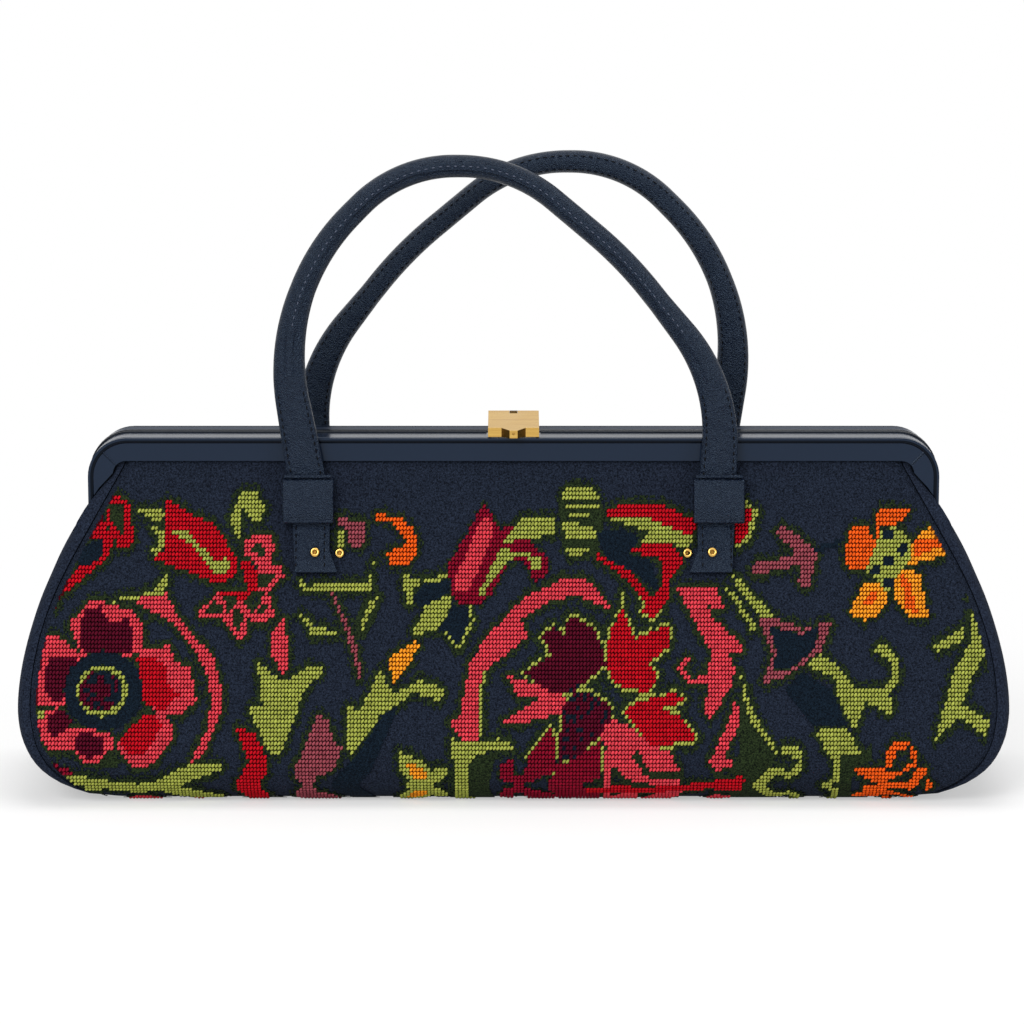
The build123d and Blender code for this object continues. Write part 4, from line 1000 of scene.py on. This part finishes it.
def rounded_route(corners, radii):
    """Points along straight runs joined by arcs."""
    corners = [np.array(corner) for corner in corners]
    points = [corners[0]]
    for before, corner, after, radius in zip(corners, corners[1:], corners[2:], radii):
        back = (before - corner) / np.linalg.norm(before - corner)
        ahead = (after - corner) / np.linalg.norm(after - corner)
        opening = math.acos(np.clip(back @ ahead, -1, 1))
        middle = corner + (back + ahead) / np.linalg.norm(back + ahead) * radius / math.sin(opening / 2)
        first = corner + back * radius / math.tan(opening / 2) - middle
        last = corner + ahead * radius / math.tan(opening / 2) - middle
        sweep = math.pi - opening
        for share in np.linspace(0, 1, 25):
            turn = math.sin((1 - share) * sweep) * first + math.sin(share * sweep) * last
            points.append(middle + turn / math.sin(sweep))
    points.append(corners[-1])
    return np.array(points)


def even_route(points, count):
    """The same route with evenly spaced points."""
    steps = np.concatenate([[0], np.cumsum(np.linalg.norm(np.diff(points, axis=0), axis=1))])
    even = np.linspace(0, steps[-1], count)
    return np.stack([np.interp(even, steps, points[:, k]) for k in (0, 1)], axis=1), steps[-1]


navy_gloss = (0.55, 0.75, 1.0, 1.0)
leather, tree, shader = principled(
    "navy_leather", (3, 10, 28), 0.29, Specular_IOR_Level=0.36, Specular_Tint=navy_gloss
)
spot = add_node(tree, "ShaderNodeTexCoord")
pores = add_node(tree, "ShaderNodeTexVoronoi", {"Scale": 2200})
creases = add_node(tree, "ShaderNodeTexNoise", {"Scale": 190, "Detail": 5.0, "Roughness": 0.6})
both = add_node(tree, "ShaderNodeMath", operation="MULTIPLY_ADD")
both.inputs[1].default_value = 0.35
join(tree, spot, "Object", pores, "Vector")
join(tree, spot, "Object", creases, "Vector")
join(tree, pores, "Distance", both, 0)
join(tree, creases, "Fac", both, 2)
bump(tree, shader, both.outputs[0], 0.8, 0.0016)
black_thread, _, _ = principled("black_thread", (3, 3, 5), 0.6, Specular_IOR_Level=0.1)
pale_thread, _, _ = principled("pale_thread", (64, 72, 90), 0.6)

handle_up = np.array([0.0, math.sin(handle_lean), math.cos(handle_lean)])
handle_out = np.array([0.0, -math.cos(handle_lean), math.sin(handle_lean)])
stations, handle_length = even_route(rounded_route(handle_route, handle_radii), 260)
place = np.linspace(0, 1, len(stations))
ahead = np.gradient(stations, axis=0)
ahead /= np.linalg.norm(ahead, axis=1, keepdims=True)
across = np.stack([ahead[:, 1], -ahead[:, 0]], axis=1)
width = np.interp(place, handle_places, handle_widths)
depth = np.interp(place, handle_places, handle_depths)
square = np.interp(place, handle_places, handle_squares)
rolled = np.clip((np.minimum(place, 1 - place) - 0.12) / 0.08, 0, 1)
welt_angles = [70.5, 73.5, 81, 99, 106.5, 109.5]
angles = np.radians(sorted(list(range(0, 360, 12)) + welt_angles))[None, :]
cosine, sine = np.cos(angles), np.sin(angles)
ring_x = width[:, None] / 2 * np.sign(cosine) * np.abs(cosine) ** (2 / square[:, None])
ring_y = depth[:, None] / 2 * np.sign(sine) * np.abs(sine) ** (2 / square[:, None])
ring_y += welt_height * rolled[:, None] * (sine > 0) * (np.abs(ring_x) < welt_half_width)


def in_plane(points2d, off):
    """Points of the handle's plane in the bag's frame, moved out of it by a distance."""
    along = points2d[..., :1] * np.array([1.0, 0, 0]) + points2d[..., 1:] * handle_up
    return handle_foot + along + off[..., None] * handle_out


flat_ring = stations[:, None, :] + ring_x[:, :, None] * across[:, None, :]
strap_points = in_plane(flat_ring, ring_y)
strap_faces = ring_faces(*strap_points.shape[:2])

thread_tree = instance_tree("thread_stitches", bead)


def thread_row(first, last, sideways, face):
    """Places and axes of a row of stitches on the strap between two shares of its length."""
    spots = np.arange(first, last, thread_pitch / handle_length)
    middle = np.stack([np.interp(spots, place, stations[:, k]) for k in (0, 1)], axis=1)
    way = np.stack([np.interp(spots, place, ahead[:, k]) for k in (0, 1)], axis=1)
    beside = np.stack([way[:, 1], -way[:, 0]], axis=1)
    half_width = np.interp(spots, place, width) / 2
    half_depth = np.interp(spots, place, depth) / 2
    power = np.interp(spots, place, square)
    offset = sideways * (half_width - thread_inset)
    rise = half_depth * np.maximum(1 - np.abs(offset / half_width) ** power, 0.0) ** (1 / power)
    if sideways == 0:
        rise = rise + welt_height * np.interp(spots, place, rolled)
    points = in_plane(middle + offset[:, None] * beside, face * (rise + thread_lift))
    along = way[:, :1] * np.array([1.0, 0, 0]) + way[:, 1:] * handle_up
    return points, np.tile(face * handle_out, (len(spots), 1)), along


panel_slope = np.array([0.0, math.sin(lean), math.cos(lean)])
panel_out = np.array([0.0, -math.cos(lean), math.sin(lean)])
tab_middle = 77.0
tab_thread_inset = 5.4
tab_level = 95.0
tab_cut = 114.5
tab_spots = [v.co for v in nodes["front_handle"].data.vertices if v.co.z < 0.1]
tab_lift = 1000 * max(spot.dot(Vector(panel_out)) for spot in tab_spots) + thread_lift
tab_lift += float(panel_y(np.float64(tab_level))) * panel_out[1] - tab_level * panel_out[2]
heights = np.arange(89.0, 104.0, thread_pitch * math.cos(lean))
tab_axes = [np.tile(way, (len(heights), 1)) for way in (panel_out, panel_slope)]
dark_rows = []
for middle in (-tab_middle, tab_middle):
    for offset in (-tab_thread_inset, tab_thread_inset):
        tab_face = np.stack([0 * heights + middle + offset, -panel_y(heights), heights], axis=1)
        dark_rows.append((tab_face + tab_lift * panel_out, *tab_axes))
dark_rows += [
    thread_row(first, last, sideways, face)
    for first, last, face in ((0.02, 0.12, 1), (0.88, 0.985, 1), (0.02, 0.98, -1))
    for sideways in (-1, 1)
]
dark_row = [np.concatenate(parts) for parts in zip(*dark_rows)]
welt_row = thread_row(0.2, 0.8, 0, 1)
for side, body in halves:
    strap_mesh = solid_of(f"{side}_strap", on_side(side, strap_points), strap_faces)
    strap = add_piece(f"{side}_strap", strap_mesh, leather)
    tabs = softened(f"{side}_handle", f"{side}_tabs", leather, 0.5)
    ends = bmesh.new()
    ends.from_mesh(tabs.data)
    whole = ends.verts[:] + ends.edges[:] + ends.faces[:]
    level = (0, 0, tab_cut / 1000)
    bmesh.ops.bisect_plane(ends, geom=whole, plane_co=level, plane_no=(0, 0, 1), clear_outer=True)
    bmesh.ops.holes_fill(ends, edges=[edge for edge in ends.edges if edge.is_boundary])
    ends.to_mesh(tabs.data)
    ends.free()
    pieces = [strap, tabs]
    for name, row, size, paint in (
        ("dark_stitching", dark_row, (0.55, 1.9, 0.45), black_thread),
        ("welt_stitching", welt_row, (0.5, 1.6, 0.4), pale_thread),
    ):
        sewn = [on_side(side, vectors) for vectors in row]
        pieces.append(set_out(f"{side}_{name}", thread_tree, *sewn, size, paint))
    for piece in pieces:
        fix_to(piece, f"{side}_handle", body)

# Keepers: leather loops, sewn to the panels behind the straps, that hold the strap ends down.
# Their upper and lower edges are turned over and stand up as rounded rims.
keeper_rim = 0.75
for side, body in halves:
    slope, out = on_side(side, panel_slope), on_side(side, panel_out)
    for end in ("left", "right"):
        node = f"keeper_{side}_{end}"
        pieces = [softened(node, f"{side}_{end}_loop", leather, 1.0, 5)]
        spots = np.array([v.co for v in nodes[node].data.vertices]) * 1000
        ups, outs = spots @ slope, spots @ out
        reach = np.linspace(spots[:, 0].min() + keeper_rim, spots[:, 0].max() - keeper_rim, 6)[:, None]
        for edge, up in (("upper", ups.max() - keeper_rim), ("lower", ups.min() + keeper_rim)):
            middle = up * slope + (outs.max() - keeper_rim / 2) * out
            line = middle + reach * np.array([1.0, 0, 0])
            pieces.append(round_bar(f"{side}_{end}_{edge}_rim", line, keeper_rim, leather))
        for piece in pieces:
            fix_to(piece, node, body)

# Rivets: gilt tubular rivets with rolled rims and open bores, two at each strap end,
# one through the strap's tab and one through the cloth beside it.
rivet_height = 93.5
rivet_places_x = (-75.2, -66.0, 66.0, 75.2)
rivet_rim_radius = 1.25
rivet_rim = 0.62
tab_rivet_lift = 3.6
cloth_rivet_lift = 0.7
bore_sink = 0.15


def rolled_rim(tree):
    """Ring of round section, in units of the rivet's rim radius."""
    ring = add_node(tree, "GeometryNodeCurvePrimitiveCircle", {"Resolution": 20, "Radius": 1.0})
    section = add_node(tree, "GeometryNodeCurvePrimitiveCircle", {"Resolution": 10})
    section.inputs["Radius"].default_value = rivet_rim / rivet_rim_radius
    tube = add_node(tree, "GeometryNodeCurveToMesh")
    join(tree, ring, "Curve", tube, "Curve")
    join(tree, section, "Curve", tube, "Profile Curve")
    return tube.outputs[0]


def bore_floor(tree):
    """Flat disc across the bore, in the same units."""
    disc = add_node(tree, "GeometryNodeMeshCircle", {"Vertices": 16, "Radius": 0.8}, fill_type="NGON")
    return disc.outputs[0]


rivet_tree = instance_tree("rivets", rolled_rim)
bore_tree = instance_tree("rivet_bores", bore_floor)
# The bore floors are a darker brass than the rims: painted shade down in the bores.
bore_brass_painted_shade, _, _ = principled("rivet_bore", (128, 92, 38), 0.45, Metallic=1.0)
heads = np.array([[x, -float(panel_y(np.float64(rivet_height))), rivet_height] for x in rivet_places_x])
lifts = np.array([tab_rivet_lift if abs(x) > 70 else cloth_rivet_lift for x in rivet_places_x])[:, None]
rivet_axes = [np.tile(way, (len(heads), 1)) for way in (panel_out, panel_slope)]
for side, body in halves:
    for name, tree, lift, paint in (
        ("rims", rivet_tree, lifts, gilt),
        ("bores", bore_tree, lifts - bore_sink, bore_brass_painted_shade),
    ):
        seats = [on_side(side, vectors) for vectors in (heads + lift * panel_out, *rivet_axes)]
        rivets = set_out(f"{side}_rivet_{name}", tree, *seats, (rivet_rim_radius,) * 3, paint)
        fix_to(rivets, f"{side}_rivets", body)
